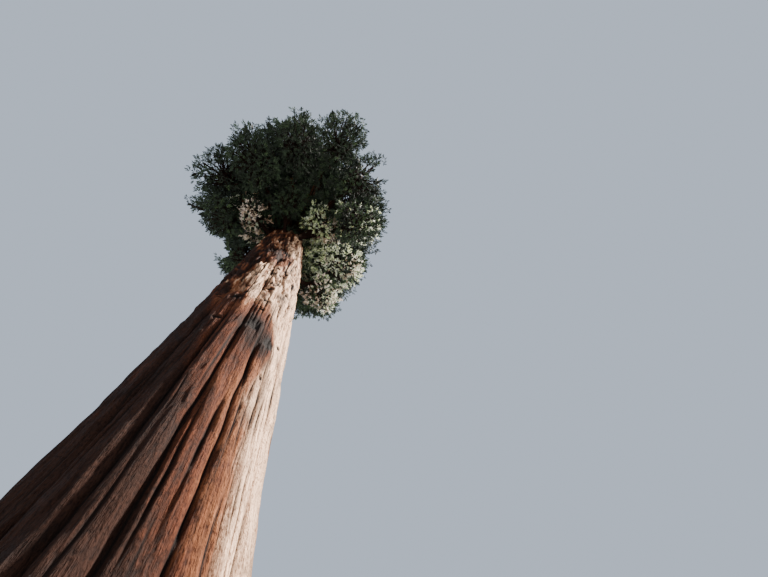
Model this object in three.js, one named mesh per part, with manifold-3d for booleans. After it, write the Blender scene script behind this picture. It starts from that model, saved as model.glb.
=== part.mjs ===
// A giant sequoia: one old tree with a fluted, flared trunk that stands bare for two fifths of its
// height, and a rounded crown of dense masses of foliage, held out on boughs or stemming from the trunk.
// Millimetres, +Z up. The origin is the centre of the flat cut through the trunk at ground level,
// and -Y is the side that the tree is looked at from.

import * as THREE from "three";
import { mergeVertices } from "three/addons/utils/BufferGeometryUtils.js";
import Module from "manifold-3d";

const wasm = await Module();
wasm.setup();

// Driving dimensions
const HEIGHT = 40000;
const TRUNK_TIP = 0.94 * HEIGHT;
const CROWN_FOOT = 0.4 * HEIGHT;
const GAP = 0.37;
const TAU = 2 * Math.PI;

// Trunk: an almost even shaft up to the crown, then a steady taper, with a butt that swells at the ground
const SHAFT_RADIUS = 1035;
const SHAFT_NARROWS = 75;
const SHAFT_NARROW_POWER = 2;
const TIP_RADIUS = 70;
const CROWN_TAPER_POWER = 0.92;
const FLARE_WIDTH = 620;
const FLARE_HEIGHT = 1600;
const BUTTRESS_SHARE = 0.42;
const RIB_DEPTH = 30;
const TWIST = 0.0175 / 1000;
const LEAN = [-340, 260];
const LEAN_POWER = 1.6;
const SIDES_PER_FURROW = 3;
const TRUNK_RINGS = 20;
const RING_CROWDING = 1.5;
// Each wave round the trunk: how many there are, how deep its share is, and where it starts
const BUTTRESS_WAVES = [
  [4, 0.4, 0.6],
  [7, 0.38, 2.1],
  [11, 0.22, 4.4],
];
const RIB_WAVES = [
  [5, 0.5, 1.2],
  [8, 0.5, 3.3],
];
// The main furrows in the bark, which climb the bare trunk with its twist and fade out in the crown. Each has
// its direction at the ground in degrees, its depth and its half-width.
const FURROWS = [
  [9, 58, 84],
  [31, 50, 76],
  [55, 62, 88],
  [78, 52, 80],
  [103, 60, 84],
  [127, 50, 76],
  [150, 62, 90],
  [173, 54, 80],
  [197, 60, 86],
  [219, 50, 78],
  [241, 66, 92],
  [260, 68, 84],
  [281, 38, 62],
  [300, 46, 68],
  [322, 48, 74],
  [345, 50, 78],
];
const FURROWS_FADE = [0.36 * HEIGHT, 0.5 * HEIGHT];

// Crown: rings of masses of foliage from the lowest to the top. Each mass is an ellipsoid with its centre at
// a height and its far side at a reach from the trunk's axis, and its half-lengths are given out from the
// trunk, across and up. The two lowest rings name each mass's direction and reach, because the crown hangs
// lower and further out on the side that is looked at. The rings above are spaced evenly, lean that way by
// their swing and are shorter by their tuck at the far left. A ring with boughs has one for each mass, and
// the masses of the others stem from the trunk.
const RINGS = [
  {
    name: "skirt",
    boughs: false,
    height: 15650,
    half: [950, 900, 800],
    rise: 500,
    places: [
      [11, 3200, -450],
      [160, 2500, -150],
    ],
  },
  {
    name: "collar",
    boughs: false,
    height: 17500,
    half: [900, 1400, 800],
    rise: 100,
    places: [
      [204, 2950, 50],
      [250, 3150, -50],
      [297, 3000, -150],
    ],
  },
  {
    name: "low",
    boughs: true,
    height: 17650,
    half: [1600, 1500, 1350],
    rise: -1150,
    places: [
      [182, 4650, -50],
      [204, 5600, 400],
      [228, 5650, -150],
      [251, 6250, 250],
      [271, 6900, -250],
      [289, 6520, 150],
      [311, 5050, -500],
      [344, 4200, -550],
      [27, 4150, -150],
      [80, 4400, 200],
      [132, 3150, 100],
    ],
  },
  {
    name: "wide",
    boughs: true,
    height: 20850,
    half: [2150, 2350, 2150],
    rise: 1300,
    count: 6,
    first: 248,
    reach: 4950,
    swing: 1650,
    tuck: 1100,
  },
  {
    name: "middle",
    boughs: false,
    height: 24200,
    half: [2350, 2700, 2350],
    rise: 1500,
    count: 5,
    first: 276,
    reach: 5250,
    swing: 1150,
    tuck: 500,
  },
  {
    name: "high",
    boughs: false,
    height: 27600,
    half: [2350, 2800, 2350],
    rise: 1500,
    count: 4,
    first: 310,
    reach: 5150,
    swing: 600,
    tuck: 0,
  },
  {
    name: "shoulder",
    boughs: false,
    height: 30700,
    half: [2150, 2500, 2250],
    rise: 1300,
    count: 4,
    first: 262,
    reach: 4700,
    swing: 300,
    tuck: 0,
  },
  {
    name: "upper",
    boughs: false,
    height: 33600,
    half: [1950, 2450, 2150],
    rise: 1100,
    count: 3,
    first: 330,
    reach: 4100,
    swing: 100,
    tuck: 0,
  },
  {
    name: "neck",
    boughs: false,
    height: 35900,
    half: [1650, 2200, 1850],
    rise: 900,
    count: 2,
    first: 250,
    reach: 3250,
    swing: 0,
    tuck: 0,
  },
];
const SWING_SIDE = 262;
const SWING_POWER = 1.5;
const TUCK_SIDE = 138;
const TUCK_POWER = 6;
const LAYOUT_SEED = 1858;
const HEIGHT_JITTER = 620;
const AZIMUTH_JITTER = 7;
const REACH_JITTER = 0.04;
const SIZE_JITTER = 0.08;
const TOP_HALF = [1750, 1750, 2250];
const WALL_GAP = 50;
const TRUNK_ROOM = 0.95;
const NEIGHBOUR_RANGE = 1.6;

// Boughs: the pulls are the lengths of the curve's handles as shares of the level run
const BOUGH_ROOT_PULL = 0.42;
const BOUGH_TIP_PULL = 0.3;
const BOUGH_ROOT_RISE = 0.1;
const BOUGH_TIP_RISE = 0.12;
const BOUGH_ROOT_SAG = 0.048;
const BOUGH_ROOT_SHARE = 0.034;
const BOUGH_TIP_SHARE = 0.55;
const BOUGH_COLLAR = 0.5;
const ROOT_STAGGER = 320;
const COLLAR_START = 0.18;
const COLLAR_LENGTH = 0.1;
const BOUGH_SIDES = 6;
const BOUGH_STEPS = 5;
const BOUGH_SAG = 0.12;
const BOUGH_CLEARANCE = 45;
const BEADS_PER_BOUGH = 24;

// Foliage: a stem, a dense heart, and sprays of needles on twigs that stand out of it
const HEART_SHARE = 0.86;
const HEART_LUMPS = 0.2;
const LUMP_WAVES = 5.2;
const SMALL_MASS = 1500;
const LIMB_MARGIN = 70;
const TRUNK_CLEARANCE = 60;
const CLEARING_SIDES = 10;
const CLEARING_FOOT = 0.3 * HEIGHT;
const CLEARING_STEPS = 3;
const STEM_SHARE = 0.9;
const STEM_SIDES = 5;
const STEM_PULL = 0.3;
const STEM_TAPER = 0.4;
const TRUNK_STEM_SHARE = 0.04;
const TRUNK_STEM_EXTRA = 25;
const TWIG_WIDTH = 60;
const TWIG_REACH = 0.87;
const TWIGS_PER_METRE = 2.2;
const TRIES_PER_TWIG = 4;
const TRY_STEP = 11;
const TWIG_STATIONS = [0.25, 0.5, 0.75, 1];
const LARGEST_HALF = 2800;
const SPRAY_LENGTH = 780;
const SPRAY_BASE_SHARE = 0.45;
const SPRAY_JITTER = 0.15;
const SPRAY_WIDTH = 0.68;
const SPRAY_THICKNESS = 0.5;
const SPRAY_SHOULDER = 0.52;
const SPRAY_SINK = 0.2;
const SPRAY_SPREAD = 0.45;
const SPRAY_TILT = 0.4;
const LEADER_TWIG = 1.1;
const SKIN_REACH = 1.16;
const MARCH_STEP = 30;
const FIRST_STEPS = 4;

// Colours
const BARK = new THREE.MeshStandardMaterial({ color: 0x7a4a33, roughness: 0.92, metalness: 0 });
const LIMB_BARK = new THREE.MeshStandardMaterial({ color: 0x6b4a3a, roughness: 0.9, metalness: 0 });
const FOLIAGE = new THREE.MeshStandardMaterial({ color: 0x3c4f2c, roughness: 0.75, metalness: 0 });

const radians = THREE.MathUtils.degToRad;
const UP = new THREE.Vector3(0, 0, 1);

// A repeatable run of numbers from 0 to 1
function seeded(seed) {
  let state = seed >>> 0;
  return () => {
    state = (Math.imul(state, 1664525) + 1013904223) >>> 0;
    return state / 4294967296;
  };
}

function between(random, spread) {
  return spread * (2 * random() - 1);
}

function waves(list, angle) {
  return list.reduce((sum, [count, share, start]) => sum + share * Math.cos(count * angle + start), 0);
}

function axisAt(z) {
  const share = Math.pow(Math.max(z, 0) / HEIGHT, LEAN_POWER);
  return new THREE.Vector2(LEAN[0] * share, LEAN[1] * share);
}

// How deep the nearest main furrow is cut in one direction at one height, as an open groove
function furrowDepth(z, angle) {
  const fade = THREE.MathUtils.clamp((FURROWS_FADE[1] - z) / (FURROWS_FADE[1] - FURROWS_FADE[0]), 0, 1);
  const depths = FURROWS.map(([degrees, depth, half]) => {
    const apart = angle - radians(degrees) - TWIST * z;
    const away = SHAFT_RADIUS * Math.abs(Math.atan2(Math.sin(apart), Math.cos(apart)));
    return fade * depth * Math.max(1 - away / half, 0);
  });
  return Math.max(...depths);
}

// The trunk's radius in one direction at one height
function trunkRadius(z, angle) {
  const crownRadius = SHAFT_RADIUS - SHAFT_NARROWS;
  const up = (z - CROWN_FOOT) / (TRUNK_TIP - CROWN_FOOT);
  const shaft =
    up <= 0
      ? SHAFT_RADIUS - SHAFT_NARROWS * Math.pow(Math.max(z, 0) / CROWN_FOOT, SHAFT_NARROW_POWER)
      : TIP_RADIUS + (crownRadius - TIP_RADIUS) * Math.pow(Math.max(1 - up, 0), CROWN_TAPER_POWER);
  const flare = FLARE_WIDTH * Math.exp(-z / FLARE_HEIGHT);
  const buttress = flare * BUTTRESS_SHARE * waves(BUTTRESS_WAVES, angle);
  const ribs = RIB_DEPTH * (shaft / SHAFT_RADIUS) * waves(RIB_WAVES, angle - TWIST * z);
  return shaft + flare + buttress + ribs - furrowDepth(z, angle);
}

// The direction of one of the trunk's columns of vertices: each furrow has one at its bottom and at each edge
function columnAngle(column, z) {
  const [degrees, , half] = FURROWS[Math.floor(column / SIDES_PER_FURROW) % FURROWS.length];
  const side = (column % SIDES_PER_FURROW) - 1;
  return radians(degrees) + TWIST * z + (side * half) / SHAFT_RADIUS;
}

// The trunk as a closed cylinder whose vertices are moved onto its surface, grown by a clearance
function trunkGeometry(clearance) {
  const sides = SIDES_PER_FURROW * FURROWS.length;
  const geometry = new THREE.CylinderGeometry(1, 1, 1, sides, TRUNK_RINGS);
  const position = geometry.attributes.position;
  for (let i = 0; i < position.count; i++) {
    const x = position.getX(i);
    const y = -position.getZ(i);
    const z = TRUNK_TIP * Math.pow(Math.max(position.getY(i) + 0.5, 0), RING_CROWDING);
    const centre = axisAt(z);
    const column = Math.round((Math.atan2(y, x) / TAU) * sides + sides) % sides;
    const angle = columnAngle(column, z);
    const radius = Math.hypot(x, y) * (trunkRadius(z, angle) + clearance);
    const lift = z > TRUNK_TIP - 1 ? clearance : 0;
    position.setXYZ(i, centre.x + radius * Math.cos(angle), centre.y + radius * Math.sin(angle), z + lift);
  }
  return geometry;
}

function solidOf(geometry) {
  const bare = new THREE.BufferGeometry();
  bare.setAttribute("position", geometry.getAttribute("position").clone());
  if (geometry.index) bare.setIndex(geometry.index);
  const merged = mergeVertices(bare, 1e-3);
  return new wasm.Manifold(
    new wasm.Mesh({
      numProp: 3,
      vertProperties: merged.attributes.position.array,
      triVerts: new Uint32Array(merged.index.array),
    }),
  );
}

function geometryOf(solid) {
  const mesh = solid.getMesh();
  const geometry = new THREE.BufferGeometry();
  geometry.setAttribute("position", new THREE.BufferAttribute(new Float32Array(mesh.vertProperties), 3));
  geometry.setIndex(new THREE.BufferAttribute(new Uint32Array(mesh.triVerts), 1));
  geometry.computeVertexNormals();
  return geometry;
}

// A named mesh whose own origin is at a point of the tree
function seated(name, geometry, material, point) {
  geometry.translate(-point.x, -point.y, -point.z);
  const mesh = new THREE.Mesh(geometry, material);
  mesh.name = name;
  mesh.position.copy(point);
  return mesh;
}

// The three directions of a mass: out from the trunk, across, and up
function directions(azimuth) {
  const out = new THREE.Vector3(Math.cos(azimuth), Math.sin(azimuth), 0);
  return [out, new THREE.Vector3().crossVectors(UP, out), UP.clone()];
}

// How much further a ring reaches on the side that is looked at, less what it is tucked in at the far left
function swing(ring, degrees) {
  const facing = Math.max(0, Math.cos(radians(degrees - SWING_SIDE)));
  const hidden = Math.max(0, Math.cos(radians(degrees - TUCK_SIDE)));
  return ring.swing * Math.pow(facing, SWING_POWER) - ring.tuck * Math.pow(hidden, TUCK_POWER);
}

// The direction, the reach and the height above its ring of each mass in a ring
function placesOf(ring) {
  if (ring.places) return ring.places;
  return Array.from({ length: ring.count }, (_, k) => {
    const degrees = ring.first + (k * 360) / ring.count;
    return [degrees, ring.reach + swing(ring, degrees), 0];
  });
}

// Every mass of foliage with where it is, how big it is, and where its limb leaves the trunk
function crownPlan() {
  const random = seeded(LAYOUT_SEED);
  const plan = [];
  for (const ring of RINGS) {
    placesOf(ring).forEach(([direction, outward, lift], k) => {
      const named = Boolean(ring.places);
      const degrees = direction + (named ? 0 : between(random, AZIMUTH_JITTER));
      const height = ring.height + lift + (named ? 0 : between(random, HEIGHT_JITTER));
      const reach = outward * (1 + (named ? 0 : between(random, REACH_JITTER)));
      const room = 0.5 * (reach - TRUNK_ROOM * trunkRadius(height, 0));
      const size = Math.min(1 + between(random, SIZE_JITTER), room / ring.half[0]);
      const half = [ring.half[0] * size, ring.half[1] * Math.sqrt(size), ring.half[2] * Math.sqrt(size)];
      const axes = directions(radians(degrees));
      const foot = axisAt(height);
      const centre = new THREE.Vector3(foot.x, foot.y, height).addScaledVector(axes[0], reach - half[0]);
      const stagger = ROOT_STAGGER * Math.cos(k * Math.PI);
      const rootHeight = ring.boughs ? ring.height - ring.rise + stagger : height - ring.rise;
      const root = new THREE.Vector3(axisAt(rootHeight).x, axisAt(rootHeight).y, rootHeight);
      plan.push({ name: `${ring.name}_${k + 1}`, onBough: ring.boughs, axes, half, centre, root, reach });
    });
  }
  const tip = axisAt(TRUNK_TIP);
  plan.push({
    name: "top",
    onBough: false,
    axes: directions(0),
    half: TOP_HALF,
    centre: new THREE.Vector3(tip.x, tip.y, HEIGHT - TOP_HALF[2]),
    root: new THREE.Vector3(tip.x, tip.y, TRUNK_TIP),
    reach: TOP_HALF[0],
  });
  plan.forEach((mass) => {
    mass.walls = wallsOf(mass, plan);
  });
  return plan;
}

// The distance from a mass's centre to its skin in one direction
function radiusToward(mass, unit) {
  return 1 / Math.hypot(...mass.axes.map((axis, i) => unit.dot(axis) / mass.half[i]));
}

// Flat walls between a mass and each neighbour that it would run into, which share the space out by size
function wallsOf(mass, plan) {
  const walls = [];
  for (const other of plan) {
    if (other === mass) continue;
    const normal = other.centre.clone().sub(mass.centre);
    const distance = normal.length();
    normal.normalize();
    const own = radiusToward(mass, normal);
    const theirs = radiusToward(other, normal);
    if (distance > NEIGHBOUR_RANGE * (own + theirs)) continue;
    walls.push({ normal, offset: (distance * own) / (own + theirs) - WALL_GAP });
  }
  return walls;
}

function insideWalls(mass, point) {
  const from = point.clone().sub(mass.centre);
  return mass.walls.every((wall) => from.dot(wall.normal) < wall.offset);
}

// How far out of a mass a point is: 0 at its centre and 1 on its skin
function depthIn(mass, point) {
  const from = point.clone().sub(mass.centre);
  return Math.hypot(...mass.axes.map((axis, i) => from.dot(axis) / mass.half[i]));
}

// A point of a mass's skin, or of a smaller shell inside it, in a direction of its own axes
function onShell(mass, direction, share) {
  const point = mass.centre.clone();
  mass.axes.forEach((axis, i) => point.addScaledVector(axis, direction[i] * mass.half[i] * share));
  return point;
}

// A bough leaves the trunk level, dips a little and ends at the near side of its mass's heart
function boughCurve(mass) {
  const inward = mass.root.clone().sub(mass.centre).normalize();
  const end = mass.centre.clone().addScaledVector(inward, HEART_SHARE * radiusToward(mass, inward));
  const out = mass.axes[0];
  const span = end.clone().sub(mass.root);
  const level = span.dot(out);
  const first = mass.root.clone().addScaledVector(out, BOUGH_ROOT_PULL * level);
  first.z += BOUGH_ROOT_RISE * span.z - BOUGH_ROOT_SAG * level;
  const second = end.clone().addScaledVector(out, -BOUGH_TIP_PULL * level);
  second.z -= BOUGH_SAG * level + BOUGH_TIP_RISE * span.z;
  return new THREE.CubicBezierCurve3(mass.root, first, second, end);
}

function boughRadius(mass, t) {
  const root = BOUGH_ROOT_SHARE * mass.reach;
  const collar = 1 + BOUGH_COLLAR * Math.exp(-Math.max(t - COLLAR_START, 0) / COLLAR_LENGTH);
  return root * collar * (1 - (1 - BOUGH_TIP_SHARE) * t);
}

// A cylinder bent along a curve that lies in one upright plane
function bentLimb(curve, across, radiusAt, sides, steps) {
  const geometry = new THREE.CylinderGeometry(1, 1, 1, sides, steps);
  const position = geometry.attributes.position;
  for (let i = 0; i < position.count; i++) {
    const t = THREE.MathUtils.clamp(position.getY(i) + 0.5, 0, 1);
    const tangent = curve.getTangent(t);
    const normal = new THREE.Vector3().crossVectors(tangent, across);
    const point = curve.getPoint(t);
    point.addScaledVector(normal, position.getX(i) * radiusAt(t));
    point.addScaledVector(across, position.getZ(i) * radiusAt(t));
    position.setXYZ(i, point.x, point.y, point.z);
  }
  return geometry;
}

// Points along each bough with its radius there, to keep foliage off it
function limbBeads(plan) {
  return plan
    .filter((mass) => mass.onBough)
    .flatMap((mass) => {
      const curve = boughCurve(mass);
      return Array.from({ length: BEADS_PER_BOUGH + 1 }, (_, i) => {
        const t = i / BEADS_PER_BOUGH;
        return { point: curve.getPoint(t), radius: boughRadius(mass, t) };
      });
    });
}

function clearOfLimbs(point, beads) {
  const centre = axisAt(point.z);
  const x = point.x - centre.x;
  const y = point.y - centre.y;
  const trunk = trunkRadius(Math.min(point.z, TRUNK_TIP), Math.atan2(y, x));
  if (point.z < TRUNK_TIP + LIMB_MARGIN && Math.hypot(x, y) < trunk + LIMB_MARGIN) return false;
  return beads.every((bead) => point.distanceTo(bead.point) > bead.radius + LIMB_MARGIN);
}

// Whether a point lies in a mass's own space: inside its skin and its walls, and off every limb
function inOwnSpace(mass, point, beads, reach) {
  if (point.z > HEIGHT || depthIn(mass, point) > reach) return false;
  return insideWalls(mass, point) && clearOfLimbs(point, beads);
}

// The dense heart of a mass: a lumpy ball drawn in wherever it would leave its own space
function heartGeometry(mass, beads, random) {
  const geometry = new THREE.IcosahedronGeometry(1, Math.max(...mass.half) > SMALL_MASS ? 2 : 1);
  const position = geometry.attributes.position;
  const phases = [random() * TAU, random() * TAU, random() * TAU];
  const reached = new Map();
  for (let i = 0; i < position.count; i++) {
    const direction = [position.getX(i), position.getY(i), position.getZ(i)];
    const key = direction.map((value) => value.toFixed(4)).join();
    if (!reached.has(key)) {
      const lumps = direction.reduce((sum, value, n) => sum + Math.sin(LUMP_WAVES * value + phases[n]), 0);
      const wanted = HEART_SHARE + (HEART_LUMPS * lumps) / 3;
      const stride = MARCH_STEP / onShell(mass, direction, 1).distanceTo(mass.centre);
      let share = FIRST_STEPS * stride;
      const isFree = (next) => inOwnSpace(mass, onShell(mass, direction, next), beads, 1);
      while (share < wanted && isFree(share + stride)) share += stride;
      reached.set(key, onShell(mass, direction, share));
    }
    const point = reached.get(key);
    position.setXYZ(i, point.x, point.y, point.z);
  }
  return geometry;
}

// Turns a shape whose length runs along +Y so that it runs from a point in a direction
function laid(geometry, start, direction, side) {
  const along = direction.clone().normalize();
  const across = new THREE.Vector3().crossVectors(along, side).normalize();
  const third = new THREE.Vector3().crossVectors(across, along);
  const matrix = new THREE.Matrix4().makeBasis(across, along, third).setPosition(start);
  return geometry.applyMatrix4(matrix);
}

// A spray of needles: a closed blade whose length runs along +Y, widest at its two side corners
function sprayGeometry(length) {
  const geometry = new THREE.OctahedronGeometry(1);
  const position = geometry.attributes.position;
  for (let i = 0; i < position.count; i++) {
    const across = position.getX(i) * 0.5 * SPRAY_WIDTH * length;
    const along = Math.abs(position.getY(i)) < 0.5 ? SPRAY_SHOULDER : Math.max(position.getY(i), 0);
    position.setXYZ(i, across, along * length, position.getZ(i) * 0.5 * SPRAY_THICKNESS * length);
  }
  return geometry;
}

function corners(geometry) {
  const position = geometry.attributes.position;
  const indices = Array.from({ length: position.count }, (_, i) => i);
  return indices.map((i) => new THREE.Vector3().fromBufferAttribute(position, i));
}

// Directions spread evenly over a ball, in an order that jumps from side to side
function spreadDirections(count, random) {
  const turn = random() * TAU;
  const golden = Math.PI * (3 - Math.sqrt(5));
  return Array.from({ length: count }, (_, k) => {
    const place = (k * TRY_STEP) % count;
    const level = 1 - (2 * (place + 0.5)) / count;
    const ring = Math.sqrt(1 - level * level);
    return [ring * Math.cos(turn + place * golden), ring * Math.sin(turn + place * golden), level];
  });
}

// A mass's stem starts just clear of its bough's tip or of the trunk, and runs into the heart
function stemSolid(mass, fatTrunk) {
  const curve = mass.onBough ? boughCurve(mass) : null;
  const start = curve ? curve.getPoint(1) : mass.root.clone();
  const direction = curve ? curve.getTangent(1) : mass.centre.clone().sub(mass.root).normalize();
  if (curve) start.addScaledVector(direction, GAP);
  const width = curve ? STEM_SHARE * boughRadius(mass, 1) : TRUNK_STEM_SHARE * mass.reach + TRUNK_STEM_EXTRA;
  const pull = STEM_PULL * start.distanceTo(mass.centre);
  const path = new THREE.CubicBezierCurve3(
    start,
    start.clone().addScaledVector(direction, pull),
    mass.centre.clone().addScaledVector(direction, -pull),
    mass.centre,
  );
  const stem = solidOf(bentLimb(path, mass.axes[1], (t) => width * (1 - STEM_TAPER * t), STEM_SIDES, 1));
  return curve ? stem : stem.subtract(fatTrunk);
}

// The largest single body of a solid, so that no loose scrap is kept
function mainBody(solid) {
  return solid.decompose().sort((a, b) => b.volume() - a.volume())[0];
}

// A spray's place on its twig: it stands out round the twig's tip, with its foot sunk in
function sprayAt(mass, tip, along, side, turn, random) {
  const unit = along.clone().normalize();
  const first = new THREE.Vector3().crossVectors(unit, side).normalize();
  const second = new THREE.Vector3().crossVectors(unit, first);
  const heading = unit
    .clone()
    .addScaledVector(first, SPRAY_SPREAD * Math.cos(turn))
    .addScaledVector(second, SPRAY_SPREAD * Math.sin(turn))
    .normalize();
  const share = SPRAY_BASE_SHARE + (1 - SPRAY_BASE_SHARE) * (Math.max(...mass.half) / LARGEST_HALF);
  const size = SPRAY_LENGTH * share * (1 + between(random, SPRAY_JITTER));
  const start = tip.clone().addScaledVector(heading, -SPRAY_SINK * size);
  const face = new THREE.Vector3().crossVectors(heading, unit).addScaledVector(unit, SPRAY_TILT);
  return laid(sprayGeometry(size), start, heading, face);
}

// One twig with the spray that it carries, or nothing where either would leave the mass's own space
function twigSolid(mass, direction, beads, random) {
  const tip = onShell(mass, direction, TWIG_REACH);
  const along = tip.clone().sub(mass.centre);
  const side = new THREE.Vector3(between(random, 1), between(random, 1), between(random, 1));
  const spray = sprayAt(mass, tip, along, side, random() * TAU, random);
  const run = TWIG_STATIONS.map((share) => mass.centre.clone().lerp(tip, share));
  if (!run.every((point) => insideWalls(mass, point) && clearOfLimbs(point, beads))) return null;
  if (!corners(spray).every((corner) => inOwnSpace(mass, corner, beads, SKIN_REACH))) return null;
  const twig = new THREE.ConeGeometry(TWIG_WIDTH, along.length(), 3, 1).translate(0, 0.5 * along.length(), 0);
  return solidOf(laid(twig, mass.centre, along, side)).add(solidOf(spray));
}

// The upright spray at the very top of the tree, on a twig from the top mass's heart
function leaderSolid(mass) {
  const foot = new THREE.Vector3(mass.centre.x, mass.centre.y, HEIGHT - (LEADER_TWIG + 1) * SPRAY_LENGTH);
  const start = new THREE.Vector3(mass.centre.x, mass.centre.y, HEIGHT - SPRAY_LENGTH);
  const length = (LEADER_TWIG + SPRAY_SINK) * SPRAY_LENGTH;
  const twig = new THREE.ConeGeometry(TWIG_WIDTH, length, 3, 1).translate(0, 0.5 * length, 0);
  const spray = solidOf(laid(sprayGeometry(SPRAY_LENGTH), start, UP, mass.axes[0]));
  return solidOf(laid(twig, foot, UP, mass.axes[0])).add(spray);
}

// One mass of foliage as a single closed solid
function massSolid(mass, beads, fatTrunk, clearings, seed) {
  const random = seeded(seed);
  const heart = solidOf(heartGeometry(mass, beads, random));
  let solid = clearings.reduce((left, clearing) => left.subtract(clearing), heart);
  solid = mainBody(solid).add(stemSolid(mass, fatTrunk));
  const wanted = Math.round((TWIGS_PER_METRE * Math.max(...mass.half)) / 1000);
  const directions = spreadDirections(TRIES_PER_TWIG * wanted + 1, random);
  const grown = directions.map((direction) => twigSolid(mass, direction, beads, random)).filter(Boolean);
  if (mass.name === "top") grown.push(leaderSolid(mass));
  solid = grown.slice(-wanted).reduce((sum, twig) => sum.add(twig), solid);
  return mainBody(solid);
}

// A bough with its clearance round it and past its tip, which every heart is cut clear of
function boughClearing(mass) {
  const curve = boughCurve(mass);
  const tip = curve.getPoint(1);
  const past = tip.clone().addScaledVector(curve.getTangent(1), BOUGH_CLEARANCE);
  const longer = new THREE.CubicBezierCurve3(curve.v0, curve.v1, curve.v2.clone().add(past).sub(tip), past);
  return solidOf(
    bentLimb(longer, mass.axes[1], (t) => boughRadius(mass, t) + BOUGH_CLEARANCE, BOUGH_SIDES, BOUGH_STEPS),
  );
}

// A plain cone round the trunk's run through the crown, which every heart is cut clear of
function trunkClearing() {
  const spread = 1 / Math.cos(Math.PI / CLEARING_SIDES);
  const geometry = new THREE.CylinderGeometry(1, 1, 1, CLEARING_SIDES, CLEARING_STEPS);
  const position = geometry.attributes.position;
  for (let i = 0; i < position.count; i++) {
    const z = THREE.MathUtils.lerp(CLEARING_FOOT, TRUNK_TIP + TRUNK_CLEARANCE, position.getY(i) + 0.5);
    const centre = axisAt(z);
    const radius = spread * (trunkRadius(Math.min(z, TRUNK_TIP), 0) + RIB_DEPTH + TRUNK_CLEARANCE);
    position.setXYZ(i, centre.x + position.getX(i) * radius, centre.y - position.getZ(i) * radius, z);
  }
  return solidOf(geometry);
}

function buildTree() {
  const tree = new THREE.Group();
  const boughs = new THREE.Group();
  const foliage = new THREE.Group();
  const plan = crownPlan();
  const beads = limbBeads(plan);
  const fatTrunk = solidOf(trunkGeometry(GAP));
  const clearings = [trunkClearing(), ...plan.filter((mass) => mass.onBough).map(boughClearing)];
  const trunk = geometryOf(solidOf(trunkGeometry(0)));
  tree.add(seated("trunk", trunk, BARK, new THREE.Vector3()), boughs, foliage);
  plan.forEach((mass, index) => {
    if (mass.onBough) {
      const widthAt = (t) => boughRadius(mass, t);
      const limb = solidOf(bentLimb(boughCurve(mass), mass.axes[1], widthAt, BOUGH_SIDES, BOUGH_STEPS));
      const cut = mainBody(limb.subtract(fatTrunk));
      boughs.add(seated(`bough_${mass.name}`, geometryOf(cut), LIMB_BARK, mass.root));
    }
    const solid = massSolid(mass, beads, fatTrunk, clearings, LAYOUT_SEED + 7 * index + 1);
    foliage.add(seated(`foliage_${mass.name}`, geometryOf(solid), FOLIAGE, mass.centre));
  });
  return tree;
}

const tree = buildTree();

export default tree;
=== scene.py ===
# The finish of a giant sequoia: bark with real relief on its trunk and boughs, and a crown of twigs with
# sprays of needles. Metres, +Z up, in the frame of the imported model. The origin is the centre of the flat cut
# under the trunk, and -Y is the side that the tree is looked at from.

import functools
import math

import bpy
import numpy as np
from mathutils import Matrix, Vector


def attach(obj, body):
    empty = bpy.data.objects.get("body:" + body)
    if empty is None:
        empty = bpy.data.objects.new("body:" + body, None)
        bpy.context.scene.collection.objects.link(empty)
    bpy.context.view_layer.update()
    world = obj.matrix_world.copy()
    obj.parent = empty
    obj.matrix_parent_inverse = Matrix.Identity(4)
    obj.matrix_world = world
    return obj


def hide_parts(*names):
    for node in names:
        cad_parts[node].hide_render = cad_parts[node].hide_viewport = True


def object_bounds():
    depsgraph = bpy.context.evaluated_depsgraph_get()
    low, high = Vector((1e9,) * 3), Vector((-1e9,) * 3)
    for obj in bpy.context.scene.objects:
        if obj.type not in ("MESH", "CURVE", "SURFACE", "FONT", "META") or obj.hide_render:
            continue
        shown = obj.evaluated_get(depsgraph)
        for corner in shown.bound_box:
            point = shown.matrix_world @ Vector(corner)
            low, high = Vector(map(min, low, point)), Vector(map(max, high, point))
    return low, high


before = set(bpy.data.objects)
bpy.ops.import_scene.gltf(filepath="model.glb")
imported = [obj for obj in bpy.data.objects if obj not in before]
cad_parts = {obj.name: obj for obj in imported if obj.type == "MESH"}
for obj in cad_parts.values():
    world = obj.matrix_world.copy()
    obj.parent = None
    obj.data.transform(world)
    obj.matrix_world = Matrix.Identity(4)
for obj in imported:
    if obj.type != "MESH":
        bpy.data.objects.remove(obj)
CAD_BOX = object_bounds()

bl_info = {
    "name": "Giant Sequoia",
    "version": (1, 0, 0),
    "blender": (4, 5, 0),
    "location": "View3D > Sidebar > Sequoia",
    "description": "Builds the bark, the twigs and the needles of a giant sequoia round its solid model",
    "category": "Object",
}

TAU = 2 * math.pi

# The tree's own sizes, as in the solid model
HEIGHT = 40.0
TRUNK_TIP = 0.94 * HEIGHT
CROWN_FOOT = 0.4 * HEIGHT
SHAFT_RADIUS = 1.035
SHAFT_NARROWS = 0.075
SHAFT_NARROW_POWER = 2
TIP_RADIUS = 0.07
CROWN_TAPER_POWER = 0.92
FLARE_WIDTH = 0.62
FLARE_HEIGHT = 1.6
BUTTRESS_SHARE = 0.42
RIB_DEPTH = 0.03
TWIST = 0.0175
LEAN = (-0.34, 0.26)
LEAN_POWER = 1.6
# Each wave round the trunk: how many there are, how deep its share is, and where it starts
BUTTRESS_WAVES = ((4, 0.4, 0.6), (7, 0.38, 2.1), (11, 0.22, 4.4))
RIB_WAVES = ((5, 0.5, 1.2), (8, 0.5, 3.3))
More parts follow.
